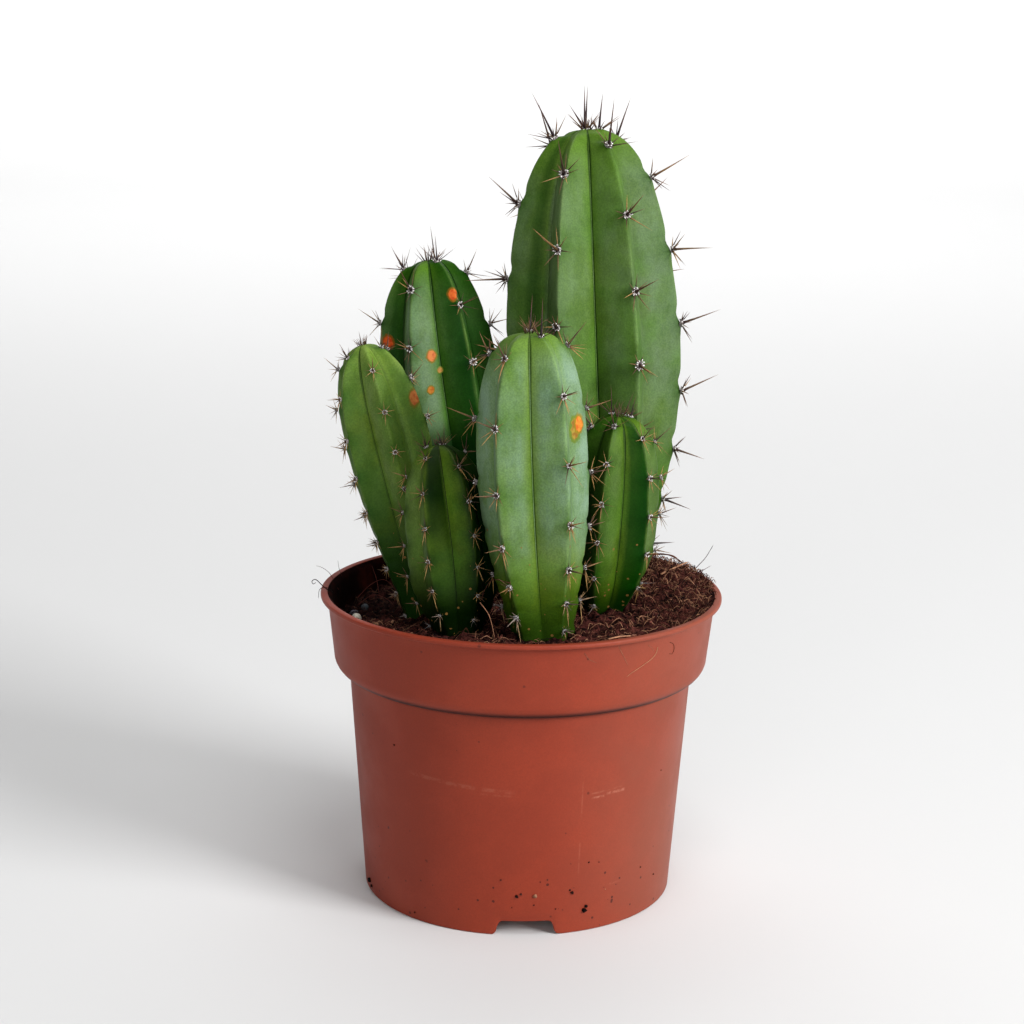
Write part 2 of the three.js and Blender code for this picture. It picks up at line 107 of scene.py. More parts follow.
class Wiring:
    def __init__(self, tree, spot=None):
        self.tree = tree
        self.spot = self.add("TexCoord").outputs["Object"] if spot is None else spot

    def feed(self, value, socket):
        if isinstance(value, bpy.types.NodeSocket):
            self.tree.links.new(value, socket)
        else:
            socket.default_value = value

    def add(self, kind, inputs=None, **settings):
        node = self.tree.nodes.new("ShaderNode" + kind)
        for name, value in settings.items():
            setattr(node, name, value)
        for name, value in (inputs or {}).items():
            self.feed(value, node.inputs[name])
        return node

    def calc(self, operation, a, b=0.0, clamp=False):
        return self.add("Math", {0: a, 1: b}, operation=operation, use_clamp=clamp).outputs[0]

    def times(self, a, b):
        return self.calc("MULTIPLY", a, b)

    def mix(self, share, low, high, mode="MIX"):
        low, high = ((*value, 1) if isinstance(value, tuple) else value for value in (low, high))
        return self.add("Mix", {0: share, 6: low, 7: high}, data_type="RGBA", blend_type=mode).outputs[2]

    def ease(self, value, start, end, low=0.0, high=1.0):
        span = {"Value": value, "From Min": start, "From Max": end, "To Min": low, "To Max": high}
        return self.add("MapRange", span, interpolation_type="SMOOTHSTEP").outputs[0]

    def noise(self, scale, detail=3.0, roughness=0.55, stretch=None):
        where = self.add("Mapping", {"Vector": self.spot, "Scale": stretch}).outputs[0] if stretch else self.spot
        look = {"Vector": where, "Scale": scale, "Detail": detail, "Roughness": roughness}
        return self.add("TexNoise", look).outputs[0]

    def parts(self, kind, value):  # red, green and blue of a colour, or x, y and z of a place
        return self.add("Separate" + kind, {0: value}).outputs

    def mark(self, name):  # a value that the mesh carries
        return self.add("Attribute", attribute_name=name).outputs["Fac"]

    def group(self, name, **inputs):
        return self.add("Group", {"Position": self.spot, **inputs}, node_tree=groups[name]).outputs

    def giveOut(self, **outputs):  # closes a group
        for label in outputs:
            self.tree.interface.new_socket(label, in_out="OUTPUT", socket_type="NodeSocketFloat")
        end = self.tree.nodes.new("NodeGroupOutput").inputs
        for label, value in outputs.items():
            self.tree.links.new(value, end[label])
        groups[self.tree.name] = self.tree

    def dress(self, colour, roughness, specular=0.5, relief=None):  # closes a material
        shader = self.tree.nodes["Principled BSDF"].inputs
        self.feed(colour, shader["Base Color"])
        self.feed(roughness, shader["Roughness"])
        shader["Specular IOR Level"].default_value = specular
        if relief:
            raised = self.add("Bump", dict(zip(("Height", "Strength", "Distance"), relief)))
            self.feed(raised.outputs[0], shader["Normal"])


groups = {}  # each is built once and placed in the materials that use it


def newGroup(name, **inputs):  # inputs with their usual values, None for a vector
    tree = bpy.data.node_groups.new(name, "ShaderNodeTree")
    for label, value in {"Position": None, **inputs}.items():
        kind = "NodeSocketVector" if value is None else "NodeSocketFloat"
        socket = tree.interface.new_socket(label, in_out="INPUT", socket_type=kind)
        if value is not None:
            socket.default_value = value
    start = tree.nodes.new("NodeGroupInput").outputs
    return Wiring(tree, start["Position"]), start


def newMaterial(name):
    material = bpy.data.materials.new(name)
    material.use_nodes = True
    return material, Wiring(material.node_tree)


def makeMottle():  # soft patches and fine grain in one
    web, start = newGroup("mottle", Patch=90.0, Grain=900.0)
    patches, grains = web.noise(start["Patch"], 4.0), web.noise(start["Grain"], 2.0)
    web.giveOut(Patches=web.ease(patches, 0.34, 0.66), Grains=web.ease(grains, 0.3, 0.7), Height=web.times(grains, 0.6))


def makeSpecks():  # scattered crumbs and dust spots, fewer higher up
    web, start = newGroup("specks", Scale=400.0, Share=0.1, Low=0.0, High=0.1)
    cells = web.add("TexVoronoi", {"Vector": web.spot, "Scale": start["Scale"]}).outputs
    pick = web.parts("Color", cells["Color"])
    height = web.parts("XYZ", web.spot)["Z"]
    span = {"Value": height, "From Min": start["Low"], "From Max": start["High"], "To Min": 1.0, "To Max": 0.0}
    fade = web.add("MapRange", span).outputs[0]
    chosen = web.calc("LESS_THAN", pick[0], web.times(start["Share"], fade))
    size = web.calc("ADD", web.times(pick[1], 0.3), 0.12)
    web.giveOut(Mask=web.times(chosen, web.calc("LESS_THAN", cells["Distance"], size)))


def makeScar():  # a corky healed spot: an orange core in a darker rim
    web, start = newGroup("corkScar", Centre=None, Size=None)
    away = web.add("VectorMath", {0: web.spot, 1: start["Centre"]}, operation="SUBTRACT").outputs[0]
    scaled = web.add("VectorMath", {0: away, 1: start["Size"]}, operation="DIVIDE").outputs[0]
    far = web.add("VectorMath", {0: scaled}, operation="LENGTH").outputs["Value"]
    ragged = web.calc("ADD", far, web.times(web.calc("SUBTRACT", web.noise(520.0), 0.5), 0.8))
    web.giveOut(Core=web.ease(ragged, 0.92, 0.72), Rim=web.ease(ragged, 1.22, 1.0), Height=web.ease(ragged, 1.15, 0.75))


def makeBloom():  # wax bloom that lies thickest on the flanks and wears off in streaks, and frost that is partly painted sheen and light
    web, start = newGroup("waxBloom", Across=0.0, Rise=0.5, Amount=0.5, Frost=0.0)
    flank = web.ease(web.calc("ABSOLUTE", start["Across"]), 1.0, 0.55, 0.15, 1.0)
    clouds = web.ease(web.noise(60.0, 4.0), 0.34, 0.64, 0.45, 1.0)
    streaks = web.ease(web.noise(160.0, 3.0, 0.6, (1, 1, 0.18)), 0.3, 0.7, 0.55, 1.0)
    middle = web.times(web.ease(start["Rise"], 0.15, 0.5), web.ease(start["Rise"], 1.0, 0.86))
    mask = web.times(web.times(flank, clouds), web.times(streaks, middle))
    wiped = web.ease(web.noise(95.0, 5.0, 0.62), 0.32, 0.6, 0.35, 1.0)
    # frost by angle: partly wax bloom, partly painted sheen and painted light
    frostAndSheenMask = web.times(web.times(start["Frost"], middle), wiped)
    web.giveOut(Mask=web.calc("MULTIPLY", mask, start["Amount"], True), Frosted=frostAndSheenMask)


def makeMark():  # a scuff or hairline on the pot, placed by angle from the front and by height
    web, start = newGroup("rubMark", Angle=0.0, Height=0.05, Reach=0.1, Spread=0.001, Slope=0.0)
    spot = web.parts("XYZ", web.spot)
    turned = web.calc("SUBTRACT", web.calc("ARCTAN2", spot["X"], web.times(spot["Y"], -1.0)), start["Angle"])
    line = web.calc("ADD", start["Height"], web.times(turned, start["Slope"]))
    raised = web.calc("ABSOLUTE", web.calc("SUBTRACT", spot["Z"], line))
    sideways = web.ease(web.calc("DIVIDE", web.calc("ABSOLUTE", turned), start["Reach"]), 1.0, 0.8)
    tall = web.ease(web.calc("DIVIDE", raised, start["Spread"]), 1.0, 0.4)
    broken = web.ease(web.noise(420.0, 4.0, 0.7), 0.42, 0.6)
    web.giveOut(Mask=web.times(web.times(sideways, tall), broken))


# Mesh helpers. Shapes are made in millimetres.


def newHeap():
    return {"points": [], "quads": [], "triangles": [], "values": {}, "count": 0}


def pile(heap, points, quads, triangles, **values):
    for kind, faces in (("quads", quads), ("triangles", triangles)):
        heap[kind].append(np.asarray(faces) + heap["count"])
    for name, value in values.items():
        heap["values"].setdefault(name, []).append(np.broadcast_to(np.asarray(value, float), len(points)))
    heap["points"].append(points)
    heap["count"] += len(points)


def toPiece(name, heap, material, smooth=True):
    mesh = bpy.data.meshes.new(name)
    faces = np.concatenate(heap["quads"]).tolist() + np.concatenate(heap["triangles"]).tolist()
    mesh.from_pydata((np.concatenate(heap["points"]) * mm).tolist(), [], faces)
    for label, parts in heap["values"].items():
        layer = mesh.attributes.new(label, "FLOAT", "POINT")
        layer.data.foreach_set("value", np.concatenate(parts).astype(np.float32))
    if smooth:
        mesh.shade_smooth()
    mesh.materials.append(material)
    return addObject(name, mesh)


def unit(vector):
    vector = np.asarray(vector, float)
    return vector / max(np.linalg.norm(vector), 1e-9)


def softStep(u):
    return u * u * (3 - 2 * u)


def atHeight(x, y, z):  # a row of points at one height, or at a height for each
    return np.stack([x, y, np.broadcast_to(np.asarray(z, float), len(x))], -1)


def gridFaces(rows, columns):  # rows of a closed ring, listed from the bottom up
    low = np.arange((rows - 1) * columns).reshape(rows - 1, columns)
    return np.stack([low, np.roll(low, -1, 1), np.roll(low, -1, 1) + columns, low + columns], -1).reshape(-1, 4)


def fan(start, count, hub):  # triangles from the edges of a ring to one point
    return [(start + i, start + (i + 1) % count, hub) for i in range(count)]


def cap(start, count):  # triangles that close the lower end of a ring
    return [(start, start + i + 1, start + i) for i in range(1, count - 1)]


def pileRings(heap, rings, bottom, top, **values):  # rings from the bottom up, closed by a point at each end
    rings = np.asarray(rings)
    rows, columns = rings.shape[:2]
    end = rows * columns
    under = [(end, b, a) for a, b, _ in fan(0, columns, end)]
    points = np.concatenate([rings.reshape(-1, 3), [bottom, top]])
    pile(heap, points, gridFaces(rows, columns), under + fan(end - columns, columns, end + 1), **values)


def tube(path, radii, sides):  # a bent rod whose far end comes to a point
    path = np.asarray(path, float)
    ahead = np.gradient(path, axis=0)
    side = unit(np.cross(ahead[0], (0.31, 0.87, 0.38)))  # any way that no rod here runs along
    angles = fullTurn * np.arange(sides) / sides
    rings = []
    for at, along, radius in zip(path[:-1], ahead, radii):
        along = unit(along)
        side = unit(side - along * side.dot(along))
        rings.append(at + radius * (np.outer(np.cos(angles), side) + np.outer(np.sin(angles), np.cross(along, side))))
    end = len(rings) * sides
    points, ends = np.concatenate([*rings, path[-1:]]), fan(end - sides, sides, end) + cap(0, sides)
    return points, gridFaces(len(rings), sides), ends


def smoothPath(knots, steps=5):  # a curve through the knots
    knots = np.asarray(knots, float)
    ends = np.concatenate([[2 * knots[0] - knots[1]], knots, [2 * knots[-1] - knots[-2]]])
    path = []
    for a, b, c, d in zip(ends, ends[1:], ends[2:], ends[3:]):
        square, cube = 2 * a - 5 * b + 4 * c - d, 3 * b - a - 3 * c + d
        for u in np.arange(steps) / steps:
            path.append(0.5 * (2 * b + (c - a) * u + square * u**2 + cube * u**3))
    return np.array([*path, knots[-1]])


def lump(draw, at, size, rings=4, around=7, ragged=0.3):  # a small uneven grain
    at, size = np.asarray(at, float), np.asarray(size, float)
    spin = draw.uniform(0, fullTurn)
    points = []
    for i in range(1, rings):
        tall = math.pi * i / rings
        for j in range(around):
            angle = spin + fullTurn * j / around
            rough = 1 + draw.uniform(-ragged, ragged)
            spot = (math.sin(tall) * math.cos(angle), math.sin(tall) * math.sin(angle), -math.cos(tall))
            points.append(at + size * rough * np.array(spot))
    count = len(points)
    points += [at - (0, 0, size[2]), at + (0, 0, size[2])]
    under = [(count, b, a) for a, b, _ in fan(0, around, count)]
    return np.array(points), gridFaces(rings - 1, around), under + fan(count - around, around, count + 1)


# Stems. Lengths are in millimetres from the foot of the pot, and angles in degrees from the front
# towards the right. The shape values are the ones that the solids use.

skin = {
    "footDepth": 14, "footTaper": 0.35, "swell": 1.2, "flankBulge": 0.03, "furrowRamp": (0.3, 1, 1.25),
    "ringStep": 1.15, "pointsPerRib": 24, "crestRound": 0.55, "furrowRound": 0.28,
    "notch": 0.5, "notchAt": 2.0, "notchSpread": 1.5,  # dip above each spine cushion
    "heel": 0.3, "heelAt": -0.6, "heelSpread": 1.7,  # swelling that carries the cushion
    "wobble": 0.16, "specular": 0.06,
    "backFootShade": (0.2, 0.0),  # rise over which a stem's back darkens to its foot in painted shade
    "dust": (0.16, 0.085, 0.025), "blotch": (0.62, 0.7, 0.36), "grain": (1.9, 1.8, 1.6),
}
# In each stem, sides gives painted shade by angle above zero, and below zero a pale frost that is partly
# wax bloom and partly painted sheen and light; sidesLow gives the same for its lower part. foot is where
# the painted shade at the front of its foot starts and where it is dark. A scar has its place, its size
# and the colour of its core.
tallStem = {
    "name": "tall_stem", "node": "stem_tall", "slot": "stem_mid_green", "seed": 11,
    "ribs": 7, "base": (25.6, 25.6, 84), "apex": (17.3, 29.6, 226), "bow": -0.7,
    "baseRadius": 12, "radius": 27.8, "widest": 0.53, "crown": 1.8, "blunt": 2.9, "phase": 28.5, "furrow": 0.23,
    "pitch": (22.6, 13, 0.83), "leads": (14.2, 3.8, 13, 4, 14, 10.3, 1),
    "central": 11.8, "radial": 4.9, "straw": 0, "thick": 0.5, "tan": 0.15, "downTan": 0.15, "wool": 1.35,
    "deep": (0.012, 0.046, 0.003), "green": (0.062, 0.142, 0.012), "pale": (0.13, 0.2, 0.08),
    "young": (0.085, 0.165, 0.02), "bloom": (0.105, 0.17, 0.08), "frost": (0.1, 0.137, 0.094),
    "bloomAmount": 0.8, "foot": (0.25, 0.02),
    "sides": (
        (-180, 0.45), (-110, 0.3), (-75, -0.05), (-67, 0), (-60, 0.95), (-54, 0.6), (-50, -0.5), (-36, -0.5),
        (-25, 0.1), (-16, 0), (21, 0), (26, 0.05), (31, 0), (60, -0.5), (105, -0.3), (140, 0.25),
    ),
    "scars": (),
}
backStem = {
    "name": "back_stem", "node": "stem_back", "slot": "stem_dark_green", "seed": 12,
    "ribs": 6, "base": (-12.7, 21.2, 84), "apex": (-29.9, 25.8, 186.6), "bow": -2.2,
    "baseRadius": 10, "radius": 19.2, "widest": 0.59, "crown": 1.8, "blunt": 3, "phase": 37.5, "furrow": 0.19,
    "pitch": (17.4, 12, 0.7), "leads": (5, 13.3, 5, 12, 7.6, 15.5),
    "central": 7.6, "radial": 4.6, "straw": 0, "thick": 0.34, "tan": 0.4, "downTan": 0.5, "wool": 1.1,
    "deep": (0.001, 0.03, 0.0003), "green": (0.042, 0.115, 0.005), "pale": (0.1, 0.17, 0.04),
    "young": (0.06, 0.14, 0.008), "bloom": (0.11, 0.18, 0.1), "frost": (0.15, 0.2, 0.14),
    "bloomAmount": 0.85, "foot": (0.57, 0.46),
    "sides": (
        (-180, 0.6), (-90, 0.4), (-78, 0.3), (-68, 0.85), (-48, 0.85), (-36, 0.3), (-30, -0.2), (-24, 0),
        (-12, -0.35), (2, -0.2), (8, 0.5), (24, 0.85), (34, 0.95), (42, 0.85), (100, 0.85), (150, 0.7),
    ),
    "scars": (
        ((-21.7, 14.4, 178.0), (1.7, 2.3, 2.0), (0.6, 0.12, 0.02)),
        ((-41.4, 20.5, 162.3), (2.1, 2.9, 2.2), (0.6, 0.09, 0.012)),
        ((-27.9, 11.3, 159.7), (1.7, 2.2, 1.9), (0.5, 0.16, 0.04)),
        ((-25.3, 12.1, 155.4), (0.95, 1.2, 1.05), (0.34, 0.18, 0.04)),
        ((-27.9, 9.2, 149.8), (1.2, 1.6, 1.3), (0.4, 0.15, 0.02)),
    ),
}
leftStem = {
    "name": "left_stem", "node": "stem_left", "slot": "stem_yellow_green", "seed": 13,
    "ribs": 6, "base": (-27.1, -3.2, 84), "apex": (-47.2, -4.4, 165.2), "bow": 0.3,
    "baseRadius": 8.5, "radius": 14.3, "widest": 0.6, "crown": 2.9, "blunt": 2.2, "phase": 11, "furrow": 0.22,
    "pitch": (12.6, 7.5, 1), "leads": (12.7, 5.9, 9, 4, 12, 6.9),
    "central": 4.2, "radial": 2.6, "straw": 4.2, "thick": 0.28, "tan": 0.7, "downTan": 0.95, "wool": 0.75,
    "deep": (0.012, 0.06, 0.005), "green": (0.105, 0.19, 0.03), "pale": (0.15, 0.22, 0.06),
    "young": (0.165, 0.255, 0.052), "bloom": (0.13, 0.19, 0.085), "frost": (0.12, 0.17, 0.08),
    "bloomAmount": 0.4, "foot": (0.6, 0.16),
    "sides": (
        (-180, 0.5), (-90, 0.6), (-50, 0.5), (-40, 0.5), (-29, 0.55), (-19, 0.3), (-14, -0.1), (-6, -0.35), (4, 0),
        (14, 0.25), (31, 0.5), (38, -0.1), (44, -0.25), (52, 0.5), (62, 0.65), (70, 0.15), (110, 0.6),
    ),
    "scars": (((-31.8, -9.0, 150.8), (1.6, 2.1, 2.9), (0.34, 0.12, 0.03)),),
}
frontStem = {
    "name": "front_stem", "node": "stem_front", "slot": "stem_pale_green", "seed": 14,
    "ribs": 5, "base": (6.7, -34, 84), "apex": (1.2, -36.5, 174.2), "bow": -0.9,
    "baseRadius": 9.4, "radius": 17.1, "widest": 0.54, "crown": 2.6, "blunt": 3, "phase": 36, "furrow": 0.15,
    "pitch": (19.2, 7.5, 0.85), "leads": (5.2, 12.4, 5, 14, 13.3),
    "central": 7.2, "radial": 4.2, "straw": 7, "thick": 0.38, "tan": 0.2, "downTan": 0.95, "wool": 0.95,
    "deep": (0.028, 0.08, 0.003), "green": (0.085, 0.16, 0.015), "pale": (0.14, 0.23, 0.085),
    "young": (0.1, 0.185, 0.03), "bloom": (0.125, 0.205, 0.145), "frost": (0.17, 0.26, 0.19),
    "bloomAmount": 0.9, "foot": (0.33, 0.05),
    "sides": (
        (-180, 0.4), (-115, -0.3), (-86, -0.85), (-72, -0.6), (-50, -0.75), (-40, -0.4), (-32, 0.1), (-22, 0),
        (-3, 0), (4, -0.1), (12, 0.15), (20, 0), (31, -0.4), (60, -0.6), (82, -0.45), (100, -1), (120, -0.5),
        (150, 0.3),
    ),
    "scars": (
        ((14.4, -36.2, 147.5), (2.2, 2.9, 3.6), (0.3, 0.21, 0.035)),
        ((15.4, -34.8, 148.6), (1.9, 2.5, 2.8), (0.65, 0.21, 0.03)),
    ),
}
lowStem = {
    "name": "low_stem", "node": "stem_low", "slot": "stem_dark_green", "seed": 15,
    "ribs": 6, "base": (-17.5, -29.6, 84), "apex": (-24.4, -19.5, 138.9), "bow": 0.9,
    "baseRadius": 6.2, "radius": 13.7, "widest": 0.38, "crown": 2.9, "blunt": 2.4, "phase": 31.5, "furrow": 0.15,
    "pitch": (11.2, 7.4, 1.2), "leads": (1.9, 8, 3, 8, 3.6, 9.1),
    "central": 4.5, "radial": 3.2, "straw": 5.2, "thick": 0.26, "tan": 0.35, "downTan": 0.7, "wool": 0.58,
    "deep": (0.0006, 0.01, 0.0006), "green": (0.052, 0.125, 0.01), "pale": (0.09, 0.13, 0.025),
    "young": (0.06, 0.105, 0.008), "bloom": (0.07, 0.1, 0.03), "frost": (0.12, 0.19, 0.05),
    "bloomAmount": 0.3, "foot": (0.5, 0.12),
    "sides": (
        (-180, 0.8), (-120, 0.1), (-88, -0.6), (-60, -0.7), (-34, -0.1), (-29, 0.3), (-23, 0.95), (-2, 0.95),
        (0, 0.5), (3, 0.05), (14, 0.15), (25, 0.45), (30, 0.85), (60, 1), (140, 1),
    ),
    "sidesLow": (
        (-180, 0.8), (-120, 0.1), (-88, -0.4), (-60, -0.35), (-34, 0), (-23, 0.2), (-2, 0.3), (3, 0.2), (14, 0.25),
        (25, 0.5), (30, 0.85), (60, 1), (140, 1),
    ),
    "scars": (),
}
rightStem = {
    "name": "right_stem", "node": "stem_right", "slot": "stem_mid_green", "seed": 16,
    "ribs": 6, "base": (23.3, -5.2, 84), "apex": (27.5, -14, 147.1), "bow": 0.2,
    "baseRadius": 6.6, "radius": 15.4, "widest": 0.38, "crown": 2.8, "blunt": 2.6, "phase": 46.3, "furrow": 0.19,
    "pitch": (11.6, 10.8, 0.6), "leads": (10.7, 3.4, 8, 3, 9, 6.5),
    "central": 5.5, "radial": 3.8, "straw": 4.8, "thick": 0.29, "tan": 0.45, "downTan": 0.8, "wool": 0.8,
    "deep": (0.002, 0.03, 0.0005), "green": (0.048, 0.108, 0.007), "pale": (0.11, 0.18, 0.045),
    "young": (0.075, 0.14, 0.012), "bloom": (0.09, 0.14, 0.06), "frost": (0.13, 0.19, 0.08),
    "bloomAmount": 0.5, "foot": (0.34, 0.02),
    "sides": (
        (-180, 0.6), (-60, 0.8), (-22, 0.8), (-13, 0.6), (-3, 0), (20, 0.05), (26, 0.85), (36, 0.95), (43, 1),
        (47, 0.85), (60, 0.6), (74, 0), (88, -0.4), (110, 0), (150, 0.5),
    ),
    "scars": (),
}
allStems = [tallStem, backStem, leftStem, frontStem, lowStem, rightStem]


def measureStem(stem):  # adds the directions and the crest lengths that the shape needs
    base, apex = np.array(stem["base"], float), np.array(stem["apex"], float)
    stem["ends"] = base, (base + apex) / 2 + (2 * stem["bow"], 0, 0), apex
    stem["length"] = float(np.linalg.norm(apex - base))
    stem["along"] = (apex - base) / stem["length"]
    front = np.array((0.0, -1.0, 0.0))
    stem["front"] = unit(front - stem["along"] * front.dot(stem["along"]))
    stem["right"] = np.cross(stem["along"], stem["front"])
    stem["half"] = math.pi / stem["ribs"]
    stem["turn"] = math.radians(stem["phase"])
    stem["footShare"] = -skin["footDepth"] / stem["length"]
    shares = 1 - (np.arange(161) / 160) ** 2
    track = stemPoint(stem, shares, stem["turn"], crestRadius(stem, shares))
    stem["trackShares"] = shares
    stem["trackLengths"] = np.concatenate([[0], np.cumsum(np.linalg.norm(np.diff(track, axis=0), axis=1))])


def middleOf(stem, t):
    t = np.asarray(t, float)[..., None]
    base, bend, apex = stem["ends"]
    return (1 - t) ** 2 * base + 2 * t * (1 - t) * bend + t * t * apex


def crestRadius(stem, t):
    t = np.asarray(t, float)
    foot = stem["baseRadius"] * (1 - skin["footTaper"] * (t / stem["footShare"]) ** 2)
    rise = np.sin(math.pi / 2 * np.clip(t / stem["widest"], 0, 1)) ** skin["swell"]
    swelling = stem["baseRadius"] + (stem["radius"] - stem["baseRadius"]) * rise
    u = np.clip((t - stem["widest"]) / (1 - stem["widest"]), 0, 1)
    crown = stem["radius"] * (1 - u ** stem["crown"]) ** (1 / stem["blunt"])
    return np.where(t < 0, foot, np.where(t < stem["widest"], swelling, crown))


def sectionRadius(stem, t, angle):  # crest and furrow are slightly rounded
    half, crest = stem["half"], crestRadius(stem, t)
    off = np.abs(np.mod(angle - stem["turn"] + half, 2 * half) - half)
    wide = np.maximum(crest, 2.5)
    off = np.hypot(off, skin["crestRound"] / wide)
    off = half - np.hypot(np.maximum(half - off, 0), skin["furrowRound"] / wide)
    furrow = math.cos(half) - stem["furrow"] * np.interp(t, (0, 0.3, 1), skin["furrowRamp"])
    slope = furrow * math.sin(half) / (1 - furrow * math.cos(half))
    flank = slope / (np.sin(off) + slope * np.cos(off))
    return crest * flank * (1 + skin["flankBulge"] * np.sin(math.pi * off / half))


def stemPoint(stem, t, angle, radius):
    radius, angle = np.asarray(radius, float)[..., None], np.asarray(angle, float)[..., None]
    return middleOf(stem, t) + radius * (stem["front"] * np.cos(angle) + stem["right"] * np.sin(angle))


def shareAt(stem, length):
    return np.interp(length, stem["trackLengths"], stem["trackShares"])


def outsideOf(stem, points):  # how far points lie outside a stem, negative inside
    t = np.zeros(len(points))
    for _ in range(3):
        t = t + (points - middleOf(stem, t)) @ stem["along"] / stem["length"]
    inside = np.clip(t, stem["footShare"], 1)
    offset = points - middleOf(stem, inside)
    ahead, sideways = offset @ stem["front"], offset @ stem["right"]
    radial = np.hypot(ahead, sideways) - sectionRadius(stem, inside, np.arctan2(sideways, ahead))
    return np.where(t > 1, np.maximum(radial, (t - 1) * stem["length"]), radial)


def isClear(points, room, besides=None):  # of all the stems, or of all but one
    return all((outsideOf(stem, points) > room).all() for stem in allStems if stem is not besides)


def cushionPlaces(stem):  # where the spine cushions sit down each crest
    places = []
    topPitch, basePitch, change = stem["pitch"]
    for rib in range(stem["ribs"]):
        angle = stem["turn"] + rib * 2 * stem["half"]
        length = stem["leads"][rib]
        while length < stem["trackLengths"][-1]:
            t = float(shareAt(stem, length))
            point, below = (stemPoint(stem, s, angle, crestRadius(stem, s)) for s in (t, t - 0.01))
            up = unit(point - below)
            outward = stemPoint(stem, t, angle, 1) - middleOf(stem, t)
            outward = unit(outward - up * outward.dot(up))
            places.append({
                "rib": rib, "t": t, "length": length,
                "at": point, "up": up, "out": outward, "side": np.cross(up, outward),
            })
            length += basePitch + (topPitch - basePitch) * softStep(min(max(t / change, 0), 1))
    return places


# Soil surface, as in the solids, with finer crumbs on it

soilForm = {
    "level": 87.2, "slope": 0.02, "relief": 0.55, "wallTop": 90.4,
    "hollow": (-42, 14, 6, 20), "heap": (44, 18, -4.5, 17),
    "blendFrom": 48.1, "blendTo": 56.7, "lipFrom": 55.6, "lipRun": 2,
    "crumbs": ((0.62, 0.45), (0.42, 1.1), (0.24, 2.3)),  # height in mm, and waves per mm
}


def soilHeight(x, y):
    form, x, y = soilForm, np.asarray(x, float), np.asarray(y, float)
    lumps = np.sin(0.41 * x + 1.3) * np.sin(0.47 * y + 0.4) + np.sin(0.83 * x + 0.6 * y)
    lumps = lumps + 0.7 * np.sin(0.9 * y - 0.55 * x + 2.1)
    height = form["level"] + form["slope"] * x + form["relief"] * lumps
    for middleX, middleY, depth, spread in (form["hollow"], form["heap"]):
        height = height - depth * np.exp(-((x - middleX) ** 2 + (y - middleY) ** 2) / (2 * spread**2))
    edge = softStep(np.clip((np.hypot(x, y) - form["blendFrom"]) / (form["blendTo"] - form["blendFrom"]), 0, 1))
    return height + (np.minimum(height, form["wallTop"]) - height) * edge


def crumbHeight(x, y):
    return sum(tall * noise.noise((x * waves, y * waves, 3.7 + waves)) for tall, waves in soilForm["crumbs"])


def groundAt(x, y):
    return float(soilHeight(x, y)) + crumbHeight(x, y)


